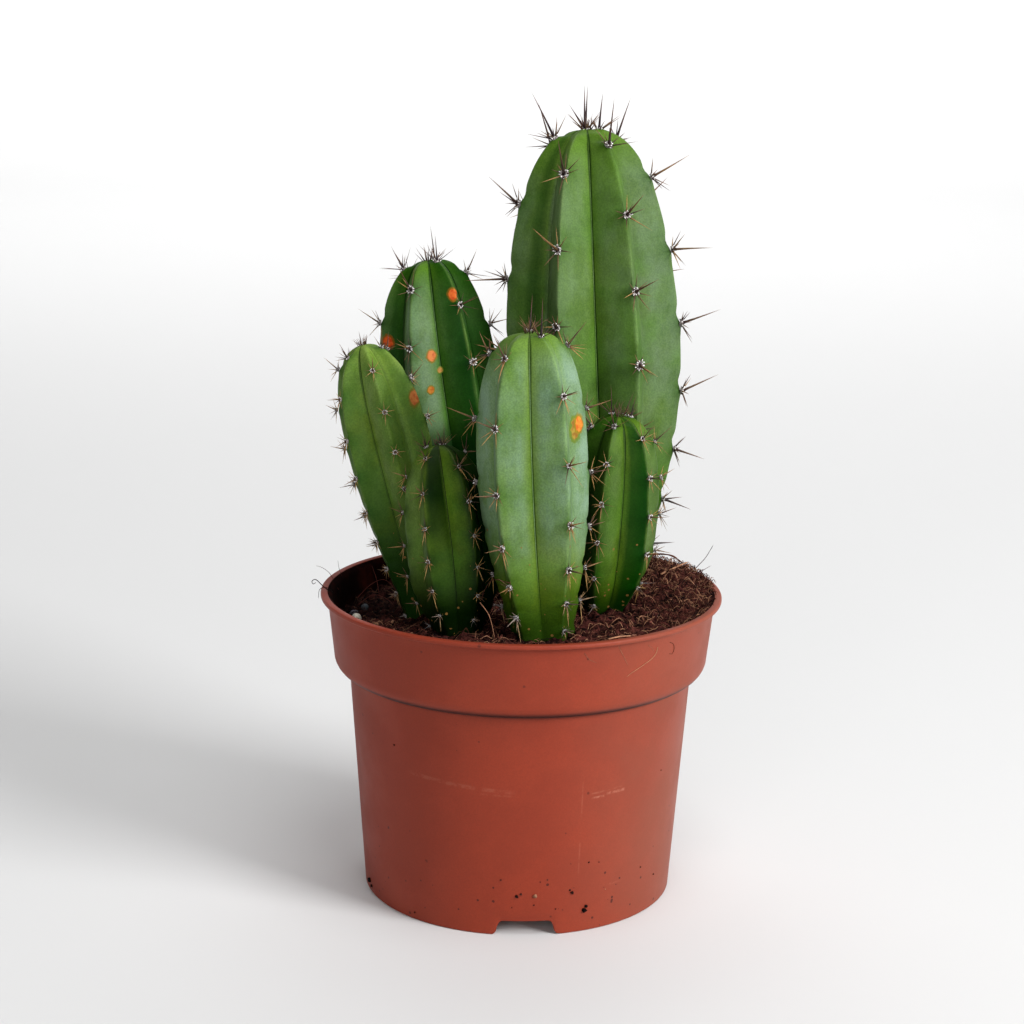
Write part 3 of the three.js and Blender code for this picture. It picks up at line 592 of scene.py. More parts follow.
def makeStemSkin(stem, places, material):
    total, per, size = stem["trackLengths"][-1], skin["pointsPerRib"], stem["radius"] / 20
    count = int(total / skin["ringStep"])
    lengths = total * (1 - np.arange(count) / count)
    buried = np.linspace(stem["footShare"], 0, 6)[:-1]
    t = np.concatenate([buried, shareAt(stem, lengths)])
    lengths = np.concatenate([total - buried * stem["length"], lengths])
    a = np.arange(per) / per * 2 - 1
    across = np.tile(a - 0.11 * np.sin(fullTurn * a), stem["ribs"])  # points crowd at crest and furrow
    ribOf = np.repeat(np.arange(stem["ribs"]), per)
    angle = stem["turn"] + (2 * ribOf + across) * stem["half"]
    rows, columns = len(t), len(angle)
    tGrid, angleGrid = np.repeat(t[:, None], columns, 1), np.repeat(angle[None, :], rows, 0)
    points = stemPoint(stem, tGrid, angleGrid, sectionRadius(stem, tGrid, angleGrid))
    normals = np.cross(np.roll(points, -1, 1) - np.roll(points, 1, 1), np.gradient(points, axis=0))
    normals /= np.maximum(np.linalg.norm(normals, axis=2), 1e-9)[..., None]
    push, near = np.zeros((rows, columns)), np.zeros((rows, columns))
    wide = np.abs(across)[None, :] * stem["half"] * crestRadius(stem, t)[:, None]

    def hill(offset, spread):
        return np.exp(-((offset / spread) ** 2))

    for place in places:
        mine = ribOf == place["rib"]
        above, aside = (place["length"] - lengths)[:, None], wide[:, mine]
        dip = skin["notch"] * hill(above - skin["notchAt"] * size, skin["notchSpread"] * size)
        heel = skin["heel"] * hill(above - skin["heelAt"] * size, skin["heelSpread"] * size)
        push[:, mine] += (heel - dip) * size * hill(aside, 3.2 * size)
        # painted shade round each cushion
        near[:, mine] += 0.6 * hill(above, 2.2) * hill(aside, 2.2) + 0.4 * hill(above, 7 * size) * hill(aside, 6 * size)
    shift = 37.0 * stem["seed"]
    wave = [
        noise.noise((x * 0.07 + shift, y * 0.07, z * 0.045)) + 0.45 * noise.noise((x * 0.2, y * 0.2 + shift, z * 0.16))
        for x, y, z in points.reshape(-1, 3)
    ]
    push += skin["wobble"] * size * np.array(wave).reshape(rows, columns) * np.clip((1 - t) * 12, 0, 1)[:, None]
    # painted shade by angle above zero, and below zero frost that is partly painted sheen and light
    upper, lower = (
        np.interp(np.degrees(angle), *zip(*stem.get(key, stem["sides"])), period=360) for key in ("sides", "sidesLow")
    )
    side = lower + (upper - lower) * np.clip((tGrid - 0.3) / 0.45, 0, 1)
    # painted shade at the foot of each stem, reaching higher at the front
    facing = np.clip(0.6 + 1.2 * np.cos(angle), 0, 1)  # 1 at the front, 0 behind
    top, foot = (back + (front - back) * facing for front, back in zip(stem["foot"], skin["backFootShade"]))
    sunk = softStep(np.clip((top - tGrid) / (top - foot), 0, 1))
    marks = {
        "rise": (tGrid, stem["footShare"], 1), "across": (np.tile(across, rows), 0, 1),
        "nearCushion": (np.clip(near, 0, 1), 0, 1),
        "shade": (np.clip(side, 0, 1), 0, 0), "frost": (np.clip(-side, 0, 1), 0, 0), "sunk": (sunk, 1, 0),
    }
    marks = {name: np.append(grid.ravel(), ends) for name, (grid, *ends) in marks.items()}
    heap = newHeap()
    pileRings(heap, points + normals * push[..., None], middleOf(stem, stem["footShare"]), middleOf(stem, 1.0), **marks)
    piece = toPiece(stem["name"], heap, material)
    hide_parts(stem["node"])
    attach(piece, "root")


spineForm = {
    "reach": 60.4, "roof": 239.6, "room": 0.35, "soilRoom": 0.5, "shortest": 0.25,
    "rimRadius": 55.7, "rimTop": 92.0,  # spines keep off the pot's lip
    "radials": (7, 8), "centralSides": 7, "radialSides": 5, "steps": 7, "tipSpines": 12,
    "bulb": 1.25, "shank": 0.82,  # swollen foot of each spine, and its thickness above that
}


def isOpen(stem, start, end, steps=6):  # clear of the neighbours, the soil, the rim and the box
    line = start + (end - start) * (np.arange(1, steps + 1) / steps)[:, None]
    x, y, z = line.T
    if np.abs(line[:, :2]).max() > spineForm["reach"] or z.max() > spineForm["roof"]:
        return False
    atRim = (np.hypot(x, y) > spineForm["rimRadius"]) & (z < spineForm["rimTop"])
    if atRim.any() or (z < soilHeight(x, y) + spineForm["soilRoom"]).any():
        return False
    return isClear(line, spineForm["room"], stem)


def addSpine(heap, draw, stem, start, way, length, thick, sides, tone, weather=0.0):
    way, shortest = unit(way), spineForm["shortest"] * length
    while length > shortest and not isOpen(stem, start + way * 0.6, start + way * length):
        length *= 0.82
    bend = np.cross(way, (draw.uniform(-1, 1), draw.uniform(-1, 1), draw.uniform(-1, 1)))
    steps, shank = spineForm["steps"], spineForm["shank"]
    u = np.linspace(0, 1, steps)[:, None] ** 1.15
    path = start - way * 0.25 + way * (length + 0.25) * u + bend * length * 0.035 * u * u
    share = u[:, 0]
    radii = thick * (1 - share) ** 0.9 * (shank + (spineForm["bulb"] - shank) * np.exp(-((share / 0.07) ** 2)))
    along = np.append(np.repeat(np.linspace(0, 1, steps)[:-1], sides), 1.0)
    pile(heap, *tube(path, radii, sides), alongSpine=along, tone=tone, weather=weather)


def makeSpines(stem, places, material):
    draw = random.Random(stem["seed"])
    heap = newHeap()
    many, few = spineForm["centralSides"], spineForm["radialSides"]
    thick, along, wool = stem["thick"], stem["along"], stem["wool"]
    for place in places:
        t, up, out, side = place["t"], place["up"], place["out"], place["side"]
        young, low = 0.7 + 0.5 * t, min(0.6 + 1.4 * t, 1)
        crown = max(0.0, (t - 0.9) / 0.1)
        weather = draw.uniform(0.3, 1.0) * min(max((0.22 - t) / 0.18, 0), 1)
        start = place["at"] + out * 0.25
        way = out + side * draw.uniform(-0.35, 0.35) + up * (0.15 + draw.uniform(-0.3, 0.4))
        way = way + along * 0.9 * crown
        length = stem["central"] * young * draw.uniform(0.8, 1.28)
        tone = draw.uniform(0, 0.5) * (1 - crown) + (0.25 if draw.random() < stem["tan"] * (1 - crown) else 0)
        addSpine(heap, draw, stem, start, way, length, thick, many, tone, weather)
        if draw.random() < 0.3:  # a second central spine
            way = out * 0.8 + side * draw.uniform(-0.7, 0.7) + up * draw.uniform(0.1, 0.8)
            addSpine(heap, draw, stem, start, way, length * 0.6, thick * 0.8, many, tone, weather)
        if stem["straw"] and draw.random() < 0.75 and crown < 0.5:  # the pale one that hangs down
            way = out * 0.22 - up + side * draw.uniform(-0.25, 0.25)
            length = stem["straw"] * draw.uniform(0.75, 1.15)
            addSpine(heap, draw, stem, start - up * wool * 0.5, way, length, thick * 0.75, few, 1.0, weather * 0.5)
        count = draw.randint(*spineForm["radials"])
        spin = draw.uniform(0, fullTurn)
        for i in range(count):
            angle = spin + fullTurn * i / count + draw.uniform(-0.25, 0.25)
            level = side * math.cos(angle) + up * math.sin(angle)
            way = level + out * (0.38 + draw.uniform(-0.12, 0.3)) + along * 0.5 * crown
            down = max(0.0, -math.sin(angle))
            length = low * stem["radial"] * young * draw.uniform(0.55, 1.25) * (1 + 0.35 * down)
            isTan = draw.random() < stem["tan"] + (stem["downTan"] - stem["tan"]) * down
            tone = draw.uniform(0.65, 1.0) if isTan and crown < 0.5 else draw.uniform(0.0, 0.35)
            foot = start + level * wool * 0.55 - out * 0.1
            addSpine(heap, draw, stem, foot, way, length, thick * 0.6 * low, few, tone, weather)
    for i in range(spineForm["tipSpines"]):
        angle = fullTurn * i / spineForm["tipSpines"] + draw.uniform(-0.3, 0.3)
        lean = draw.uniform(0.1, 0.75)
        level = stem["front"] * math.cos(angle) + stem["right"] * math.sin(angle)
        length = stem["radial"] * draw.uniform(0.6, 1.35)
        foot = middleOf(stem, 1.0) + level * draw.uniform(0.4, 1.3) - along * 0.3
        addSpine(heap, draw, stem, foot, along + level * lean, length, thick * 0.6, few, draw.uniform(0, 0.2))
    piece = toPiece(stem["name"].replace("stem", "spines"), heap, material)
    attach(piece, "root")


woolForm = {"pad": 0.85, "rise": 0.38, "around": 12, "rings": 5, "tufts": 15, "tuftLength": 0.66, "tuftRadius": 0.18}


def makeWool(stem, places, material):
    draw = random.Random(stem["seed"] + 50)
    heap = newHeap()
    around, rings = woolForm["around"], woolForm["rings"]
    for place in places:
        up, out, side = place["up"], place["out"], place["side"]
        age = 1 - place["t"]
        size = stem["wool"] * draw.uniform(0.85, 1.1) * min(0.62 + place["t"], 1)
        centre = place["at"] + out * 0.08
        points = []
        for i in range(rings):
            share = 1 - i / rings
            tall = woolForm["rise"] * math.sin(math.pi * min(1, (1 - share) * 1.35 + 0.12)) + (0 if i else -0.5)
            for j in range(around):
                angle = fullTurn * j / around
                wide = woolForm["pad"] * size * share * (1 + draw.uniform(-0.16, 0.16))
                lift = tall * size * (1 + draw.uniform(-0.3, 0.35))
                points.append(centre + side * wide * math.cos(angle) + up * wide * 1.12 * math.sin(angle) + out * lift)
        points.append(centre + out * 0.1)
        end = rings * around
        faces = fan(end - around, around, end) + cap(0, around)
        pile(heap, np.array(points), gridFaces(rings, around), faces, age=age, white=0)
        for i in range(woolForm["tufts"]):
            angle = fullTurn * i / woolForm["tufts"] + draw.uniform(-0.3, 0.3)
            level = side * math.cos(angle) + up * math.sin(angle)
            foot = centre + level * size * draw.uniform(0.5, 0.95) + out * 0.1
            way = unit(out * draw.uniform(0.5, 1.2) + level * draw.uniform(0.2, 1.0))
            path = foot + way * woolForm["tuftLength"] * size * draw.uniform(0.5, 1.1) * np.linspace(0, 1, 4)[:, None]
            radii = woolForm["tuftRadius"] * size * np.array((0.8, 1, 0.75))
            pile(heap, *tube(path, radii, 4), age=age, white=draw.uniform(0.55, 1))
    piece = toPiece(stem["name"].replace("stem", "wool"), heap, material)
    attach(piece, "root")


def scaled(colour, *shares):
    return tuple(a * b for a, b in zip(colour, shares * 3))


def skinMaterial(stem):
    material, web = newMaterial(stem["name"].replace("_stem", "StemSkin"))
    deep, green = stem["deep"], stem["green"]
    rise, across, near, shade, frost = (web.mark(name) for name in ("rise", "across", "nearCushion", "shade", "frost"))
    crestShare = web.calc("SUBTRACT", 1.0, web.calc("ABSOLUTE", across))
    mottle = web.group("mottle", Patch=120.0, Grain=2100.0)
    lit = web.calc("SUBTRACT", 1.0, shade)
    clouds = web.ease(web.noise(60.0, 5.0, 0.6), 0.42, 0.6)
    colour = web.mix(web.times(clouds, 0.75), green, scaled(green, 1.45, 1.1, 0.5))
    # deep green in random patches, and as painted shade where the shade mark is high
    colour = web.mix(web.calc("MAXIMUM", web.times(mottle["Patches"], 0.42), shade), colour, deep)
    # painted shade that darkens towards each furrow
    colour = web.mix(web.ease(crestShare, 0.3, 0.0, 0.0, 0.2), colour, deep)
    # the young colour at the top is weaker where there is painted shade
    youth = web.times(web.ease(rise, 0.72, 1.02), web.ease(lit, 0.0, 1.0, 0.15, 0.8))
    colour = web.mix(youth, colour, stem["young"])
    # wax bloom only where the painted shade leaves a side lit, so it also paints those sides lighter
    bloom = web.group("waxBloom", Across=across, Rise=rise, Frost=frost, Amount=web.times(lit, stem["bloomAmount"]))
    colour = web.mix(bloom["Mask"], colour, stem["bloom"])
    # pale frost by angle, partly wax bloom and partly painted sheen and light
    colour = web.mix(bloom["Frosted"], colour, stem["frost"])
    # paler crest line, partly the crest's own colour and partly a painted highlight
    crest = web.times(web.ease(crestShare, 0.9, 0.985), web.ease(web.noise(70.0), 0.35, 0.7, 0.1, 0.6))
    colour = web.mix(crest, colour, stem["pale"])
    blotch = web.ease(web.noise(150.0, 5.0, 0.65, (1, 1, 0.6)), 0.42, 0.64, 0.0, 0.62)
    colour = web.mix(blotch, colour, skin["blotch"], "MULTIPLY")
    folded = web.times(crestShare, web.ease(rise, 0.75, 0.97, 1.0, 0.4))  # painted shade in the crease, which is wider at the crown
    furrowShade = web.times(web.ease(folded, 0.075, 0.015, 0.0, 0.95), web.ease(frost, 0.28, 0.02))
    colour = web.mix(furrowShade, colour, scaled(deep, 0.2))
    # painted shade round the cushions
    colour = web.mix(web.times(near, 0.7), colour, deep)
    # painted shade at the foot
    colour = web.mix(web.times(web.mark("sunk"), 0.95), colour, scaled(deep, 0.4))
    dust = web.group("specks", Scale=900.0, Share=0.14, Low=0.086, High=0.12)
    colour = web.mix(dust["Mask"], colour, skin["dust"])
    colour = web.mix(web.times(mottle["Grains"], 0.42), colour, skin["grain"], "MULTIPLY")
    height = web.times(mottle["Height"], 0.5)
    for place, size, core in stem["scars"]:
        scar = web.group("corkScar", Centre=scaled(place, mm), Size=scaled(size, mm))
        colour = web.mix(web.times(scar["Rim"], 0.85), colour, scaled(core, 0.35, 0.75, 0.35))
        fleshy = web.mix(web.ease(web.noise(800.0, 2.0), 0.4, 0.65), core, scaled(core, 0.75, 0.5, 0.5))
        colour = web.mix(scar["Core"], colour, fleshy)
        height = web.calc("ADD", height, web.times(scar["Height"], 1.4))
    rough = web.ease(mottle["Patches"], 0.0, 1.0, 0.38, 0.52)
    rough = web.calc("ADD", rough, web.times(bloom["Mask"], 0.16))
    web.dress(colour, rough, skin["specular"], (height, 0.35, 0.00018))
    return material


spineLook = {
    "darkFoot": (0.01, 0.004, 0.007), "darkTip": (0.12, 0.045, 0.035), "tanFoot": (0.06, 0.02, 0.009),
    "tanTip": (0.48, 0.27, 0.09), "grey": (0.36, 0.36, 0.38), "bands": (0.03, 0.015, 0.012),
}


def spineMaterial():
    material, web = newMaterial("spineHorn")
    look, along = spineLook, web.mark("alongSpine")
    dark = web.mix(web.ease(along, 0.25, 1.0), look["darkFoot"], look["darkTip"])
    pale = web.mix(web.ease(along, 0.0, 0.55), look["tanFoot"], look["tanTip"])
    colour = web.mix(web.mark("tone"), dark, pale)
    colour = web.mix(web.times(web.mark("weather"), 0.7), colour, look["grey"])
    colour = web.mix(web.ease(web.noise(1300.0, 2.0), 0.35, 0.65, 0.0, 0.35), colour, look["bands"])
    web.dress(colour, web.ease(web.noise(900.0), 0.3, 0.7, 0.45, 0.65), 0.25, (web.noise(2500.0), 0.2, 0.00005))
    return material


woolLook = {
    "felt": (0.32, 0.28, 0.27), "gap": (0.06, 0.045, 0.045), "tuft": (0.92, 0.89, 0.87), "old": (0.3, 0.29, 0.3),
}


def woolMaterial():
    material, web = newMaterial("cushionWool")
    look, tangle = woolLook, web.noise(1600.0, 4.0, 0.7)
    felt = web.mix(web.ease(tangle, 0.3, 0.7), look["felt"], look["gap"])
    colour = web.mix(web.mark("white"), felt, look["tuft"])
    colour = web.mix(web.times(web.ease(web.mark("age"), 0.5, 1.0), 0.3), colour, look["old"])
    web.dress(colour, web.ease(tangle, 0.3, 0.7, 0.85, 1.0), relief=(tangle, 0.6, 0.0002))
    web.tree.nodes["Principled BSDF"].inputs["Sheen Weight"].default_value = 0.3
    return material


# Pot

potForm = {
    "height": 91.2, "footRadius": 46.5, "waistRadius": 51.4, "waistHeight": 67.8, "shoulder": 4.6,
    "bandRadius": 58.1, "lipRadius": 60, "lipHeight": 1.4, "lipEdge": 0.5, "wall": 1.4,
    "mouthRadius": 57.9, "flareDepth": 1.6,
    "floorUnderside": 4.6, "floorThickness": 1.3, "footEdge": 0.35, "skirtTop": 7.0,
    "notches": 3, "firstNotch": 3.4, "notchHeight": 4.45, "notchTop": 6.65, "notchBottom": 10.0, "notchCorner": 1.5,
    "drains": 6, "drainRing": 31, "drainRadius": 4, "columns": 264, "sharp": 40,
}
potLook = {
    "base": (0.264, 0.0305, 0.0105), "shade": (0.232, 0.025, 0.0085), "rub": (0.45, 0.17, 0.11),
    "paintedSheen": (0.24, 0.17, 0.11), "dirtAndShade": (0.02, 0.005, 0.004), "grimeAndShade": (0.003, 0.001, 0.001),
    "crease": 68.6, "creaseHalf": 1.9,
    "marks": (  # angle, height, half turn, half height, slope and strength, in degrees and mm
        (27.5, 41.9, 2.9, 0.42, 2.5, 0.5), (34.5, 42.6, 4.0, 0.6, 1.5, 0.45), (31.0, 43.5, 6.5, 0.35, 3.0, 0.2),
        (-20.0, 45.8, 20.0, 0.8, -3.0, 0.16), (-8.0, 43.8, 7.0, 0.4, -1.0, 0.14), (21.8, 33.0, 0.28, 19.0, 0.0, 0.14),
        (36.0, 13.5, 5.0, 0.35, 1.0, 0.12),
    ),
}


def potRadius(z):  # outside of the wall, in the taper or in the band
    form = potForm
    if z <= form["waistHeight"]:
        return form["footRadius"] + (form["waistRadius"] - form["footRadius"]) * z / form["waistHeight"]
    low, high = form["waistHeight"] + form["shoulder"], form["height"]
    inner = form["waistRadius"] + form["shoulder"]
    return inner + (form["bandRadius"] - inner) * (z - low) / (high - low)


def insideRadius(z):
    return potRadius(z) - potForm["wall"]


def notchEdge(x):  # height of the skirt's lower edge at a distance from the middle of a notch
    form = potForm
    corner, top, tall, low = form["notchCorner"], form["notchTop"], form["notchHeight"], form["notchBottom"]
    knots = [
        (top - 0.7, tall), (top + 0.1, tall - 0.05), (top + corner * 0.62, tall - 0.45), (top + corner, tall - corner),
        (low - 1.3, 0.75), (low - 0.5, 0.08), (low + 0.4, 0.0),
    ]
    return np.interp(np.abs(x), *zip(*knots))


def potAngles():  # columns crowd round each notch
    form = potForm
    reach = 11.0 / form["footRadius"]
    part = fullTurn / form["notches"]
    centres = [math.radians(form["firstNotch"]) + i * part for i in range(form["notches"])]
    angles = []
    for centre in centres:
        angles += list(centre + np.linspace(-reach, reach, 57)[:-1])
        angles += list(centre + reach + np.linspace(0, part - 2 * reach, form["columns"] // form["notches"])[:-1])
    away = np.min([np.abs(np.mod(np.array(angles) - c + math.pi, fullTurn) - math.pi) for c in centres], axis=0)
    return np.array(angles), away * form["footRadius"]


def potProfile():  # rows below the floor, rows above it, and the row where the inside starts
    form = potForm  # each row has a radius, a height and how far it follows the notches
    wall, edge, skirt, foot, height = (form[key] for key in ("wall", "footEdge", "skirtTop", "footRadius", "height"))
    waist, under = form["waistHeight"], form["floorUnderside"]
    floor, centre = under + form["floorThickness"], waist + form["shoulder"]
    outer = [(potRadius(z), z, 1 - z / skirt) for z in np.linspace(edge, skirt, 9)]
    outer += [(potRadius(z), z, 0) for z in np.linspace(skirt, waist, 15)[1:]]
    for i in range(1, 9):
        angle = -math.pi / 2 + math.pi / 2 * i / 8
        across, up = form["shoulder"] * math.cos(angle), form["shoulder"] * math.sin(angle)
        outer.append((form["waistRadius"] + across, centre + up, 0))
    lipUnder = height - form["lipHeight"]
    outer += [(potRadius(z), z, 0) for z in np.linspace(centre, lipUnder - 0.5, 8)[1:]]
    outer += [(potRadius(lipUnder) + 0.12, lipUnder - 0.1, 0), (potRadius(lipUnder) + 0.5, lipUnder, 0)]
    soft = form["lipEdge"]
    for middle in (lipUnder + soft, height - soft):
        for i in range(5):
            across, up = math.cos(math.pi / 2 * i / 4), math.sin(math.pi / 2 * i / 4)
            if middle < height - soft:
                across, up = up, -across
            outer.append((form["lipRadius"] - soft + soft * across, middle + soft * up, 0))
    mouth, flare = form["mouthRadius"], height - form["flareDepth"]
    outer += [(mouth + 0.3, height, 0), (mouth + 0.09, height - 0.06, 0)]
    inner = [(mouth, height - 0.25, 0)]
    inner += [(insideRadius(flare) + 0.15, flare + 0.25, 0), (insideRadius(flare), flare - 0.2, 0)]
    inner += [(insideRadius(z), z, 0) for z in np.linspace(height - 4, centre, 6)]
    inner += [(insideRadius(waist), waist - 1.5, 0)]
    inner += [(insideRadius(z), z, 0) for z in np.linspace(50, floor + 0.6, 5)]
    inner += [(insideRadius(floor) - 0.5, floor, 0)] + [(r, floor, 0) for r in (38.0, 24.0, 12.0)]
    within = foot - wall
    below = [(r, under, 0) for r in (12.0, 24.0, 38.0, within - 0.4)]
    below += [(within, under - 0.1, 0), (within, 2.3, 0.5), (within, edge, 1.0)]
    below += [(within + edge, 0, 1), (foot - edge, 0, 1)]
    return below, outer + inner, len(outer)


def makePot(material, insideMaterial):
    form = potForm
    angles, away = potAngles()
    edge = notchEdge(away)
    below, above, rimRow = potProfile()
    rows = [atHeight(r * np.sin(angles), -r * np.cos(angles), z + edge * follow) for r, z, follow in below + above]
    isInside = np.repeat(np.arange(len(rows)) >= len(below) + rimRow, len(angles))
    heap = newHeap()
    floor = form["floorUnderside"]
    pileRings(heap, rows, (0, 0, floor), (0, 0, floor + form["floorThickness"]), inside=np.append(isInside, (0, 1)))
    piece = toPiece("nursery_pot", heap, material)
    cutDrains(piece)
    piece.data.materials.append(insideMaterial)
    marks = [value.value for value in piece.data.attributes["inside"].data]
    for face in piece.data.polygons:
        face.material_index = int(min(marks[i] for i in face.vertices) > 0.5)
    piece.data.set_sharp_from_angle(angle=math.radians(form["sharp"]))
    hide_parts("pot")
    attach(piece, "root")


def cutDrains(piece, sides=32):
    form = potForm
    heap = newHeap()
    spots = [(0.0, 0.0)]
    for i in range(form["drains"]):
        angle = math.radians(form["firstNotch"]) + i * fullTurn / form["drains"]
        spots.append((form["drainRing"] * math.sin(angle), -form["drainRing"] * math.cos(angle)))
    circle = fullTurn * np.arange(sides) / sides
    middle = form["floorUnderside"] + form["floorThickness"] / 2
    for x, y in spots:
        across, along = x + form["drainRadius"] * np.cos(circle), y + form["drainRadius"] * np.sin(circle)
        rows = [atHeight(across, along, z) for z in (middle - 2, middle + 2)]
        caps = cap(0, sides) + [(a, c, b) for a, b, c in cap(sides, sides)]
        pile(heap, np.concatenate(rows), gridFaces(2, sides), caps, inside=0)
    cutter = toPiece("drainCutter", heap, piece.data.materials[0], smooth=False)
    cut = piece.modifiers.new("drains", "BOOLEAN")
    cut.operation, cut.solver, cut.object = "DIFFERENCE", "EXACT", cutter
    bpy.context.view_layer.update()
    shaped = bpy.data.meshes.new_from_object(piece.evaluated_get(bpy.context.evaluated_depsgraph_get()))
    piece.modifiers.clear()
    piece.data = shaped
    shaped.name = piece.name
    shaped.shade_smooth()
    bpy.data.objects.remove(cutter)


def potMaterial(name, specular):
    material, web = newMaterial(name)
    look = potLook
    mottle = web.group("mottle", Patch=45.0, Grain=2200.0)
    colour = web.mix(mottle["Patches"], look["base"], look["shade"])
    colour = web.mix(web.times(mottle["Grains"], 0.3), colour, scaled(look["base"], 0.6))
    places = web.parts("XYZ", web.spot)
    sheenToRight = web.ease(places["X"], 0.005, 0.058, 0.03, 0.22)  # painted sheen, paler towards the right where the light falls
    paintedSheen = web.times(sheenToRight, web.ease(web.noise(22.0, 5.0, 0.6), 0.3, 0.7, 0.55, 1.2))
    colour = web.mix(paintedSheen, colour, look["paintedSheen"])
    # painted shade in the crease under the band, in the dirt colour
    fromCrease = web.calc("ABSOLUTE", web.calc("SUBTRACT", places["Z"], look["crease"] * mm))
    colour = web.mix(web.ease(fromCrease, look["creaseHalf"] * mm, 0.0, 0.0, 0.97), colour, look["dirtAndShade"])
    rubbed = None
    for angle, height, reach, spread, slope, share in look["marks"]:
        turns = {"Angle": math.radians(angle), "Reach": math.radians(reach)}
        rub = web.group("rubMark", **turns, Height=height * mm, Spread=spread * mm, Slope=slope * mm)
        strong = web.times(rub["Mask"], share)
        rubbed = strong if rubbed is None else web.calc("MAXIMUM", rubbed, strong)
    colour = web.mix(rubbed, colour, look["rub"])
    dust = web.group("specks", Scale=900.0, Share=0.06, Low=0.0, High=0.03)
    fleck = web.group("specks", Scale=800.0, Share=0.008, Low=0.0, High=0.3)
    spots = web.calc("MAXIMUM", web.times(dust["Mask"], 0.75), web.times(fleck["Mask"], 0.5))
    colour = web.mix(spots, colour, look["dirtAndShade"])
    inside = web.mark("inside")
    # inside the pot nearly black: smeared soil and painted shade
    grimeAndShade = web.times(inside, web.ease(web.noise(160.0, 4.0), 0.3, 0.6, 0.9, 0.99))
    colour = web.mix(grimeAndShade, colour, look["grimeAndShade"])
    rough = web.calc("MAXIMUM", web.ease(mottle["Patches"], 0.0, 1.0, 0.46, 0.56), inside)
    height = web.calc("ADD", mottle["Height"], web.times(rubbed, -0.5))
    web.dress(colour, rough, specular, (height, 0.22, 0.00012))
    return material


# Soil and what lies in it

soilLook = {
    "rings": 88, "columns": 340, "gap": 0.05, "shadeReach": 4.5, "gapShade": 4.0,
    "dark": (0.004, 0.001, 0.001), "brown": (0.06, 0.016, 0.013), "light": (0.19, 0.056, 0.042),
    "damp": (0.002, 0.0006, 0.001),
}
crumbLook = {
    "count": 2300, "size": (0.3, 1.25), "farthest": 55.4, "ragged": 0.28,
    "spans": ((0.8, 1.3), (0.7, 1.1), (0.6, 0.9)),  # shares of the size, along x, y and z
    "atRim": 700, "rimArc": (-1.25, 1.35), "rimBand": (54.2, 57.3),
    "tones": ((0.002, 0.0006, 0.001), (0.065, 0.018, 0.015), (0.26, 0.082, 0.06)), "roughness": 0.85,
}
chipLook = {
    "count": 110, "length": (1.6, 4.2), "width": (0.14, 0.34), "thick": (0.05, 0.12), "lean": 0.35,
    "farthest": 52.0, "ragged": 0.22,
}
fibreLook = {
    "count": 4200, "length": (1.6, 5.5), "radius": (0.05, 0.16), "curl": 0.4, "lift": 1.6,
    "startWithin": 55.0, "farthest": 55.9,
    "fluff": 2600, "fluffArc": (-0.6, 1.3), "fluffFrom": 38, "fluffRim": 52.5, "fluffTo": 58.6,
    "fluffFarthest": 59.3, "fluffLift": 2.4,
    "tones": ((0.003, 0.001, 0.001), (0.13, 0.036, 0.027), (0.46, 0.23, 0.13)), "roughness": 0.7,
}


def soilShadeAt(points):  # 1 where the soil is painted dark as shade: among the stems and in the hollow at the left
    points = np.atleast_2d(np.asarray(points, float))
    among = sum(np.exp(-np.maximum(outsideOf(stem, points), 0) / soilLook["shadeReach"]) for stem in allStems)
    x, y, _, spread = soilForm["hollow"]
    hollow = np.exp(-((points[:, 0] - x + 4) ** 2 + (points[:, 1] - y - 4) ** 2) / (2 * spread**2))
    return np.clip(among * 0.75 - 0.15 + hollow, 0, 1)


def makeSoil(material):
    look, form = soilLook, potForm
    angles = fullTurn * np.arange(look["columns"]) / look["columns"]
    acrossRing, alongRing = np.cos(angles), np.sin(angles)
    floor = form["floorUnderside"] + form["floorThickness"] + 0.35
    rows = []
    for z in (floor, 30.0, form["waistHeight"] - 0.4, form["waistHeight"] + form["shoulder"] + 1):
        radius = insideRadius(z) - 0.3
        rows.append(atHeight(radius * acrossRing, radius * alongRing, z))
    start = len(rows) * len(angles)
    rim = insideRadius(soilForm["level"])
    full = np.array([insideRadius(z) for z in soilHeight(rim * acrossRing, rim * alongRing)]) - look["gap"]
    for share in np.linspace(1, 0, look["rings"] + 1)[:-1]:
        x, y = full * share * acrossRing, full * share * alongRing
        rows.append(atHeight(x, y, soilHeight(x, y) + [crumbHeight(a, b) for a, b in zip(x, y)]))
    points = np.concatenate(rows)
    for stem in allStems:
        below = middleOf(stem, stem["footShare"])[2] - 0.5
        inside = outsideOf(stem, points[start:]) < -0.45
        points[start:, 2] = np.where(inside, below, points[start:, 2])
    heap = newHeap()
    low = np.array([-crumbHeight(x, y) for x, y, _ in points])
    # painted shade among the stems, in the hollow at the left and in the gaps between crumbs
    damp = np.append(np.clip(soilShadeAt(points) + np.clip(low * look["gapShade"], -0.3, 0.9), 0, 1), (0, 1))
    pileRings(heap, points.reshape(len(rows), -1, 3), (0, 0, floor), (0, 0, groundAt(0, 0)), damp=damp)
    piece = toPiece("peat_bed", heap, material)
    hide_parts("soil")
    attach(piece, "root")


def restHeight(x, y):  # the soil, and past its edge the lip of the pot
    ground = groundAt(x, y)
    u = min(max((math.hypot(x, y) - soilForm["lipFrom"]) / soilForm["lipRun"], 0), 1)
    return ground + max(potForm["height"] + 0.1 - ground, 0) * u


def randomGround(draw, farthest):
    while True:
        radius, angle = farthest * math.sqrt(draw.random()), draw.uniform(0, fullTurn)
        x, y = radius * math.cos(angle), radius * math.sin(angle)
        spot = np.array([[x, y, groundAt(x, y)]])
        if isClear(spot, 0.3):
            return spot[0]


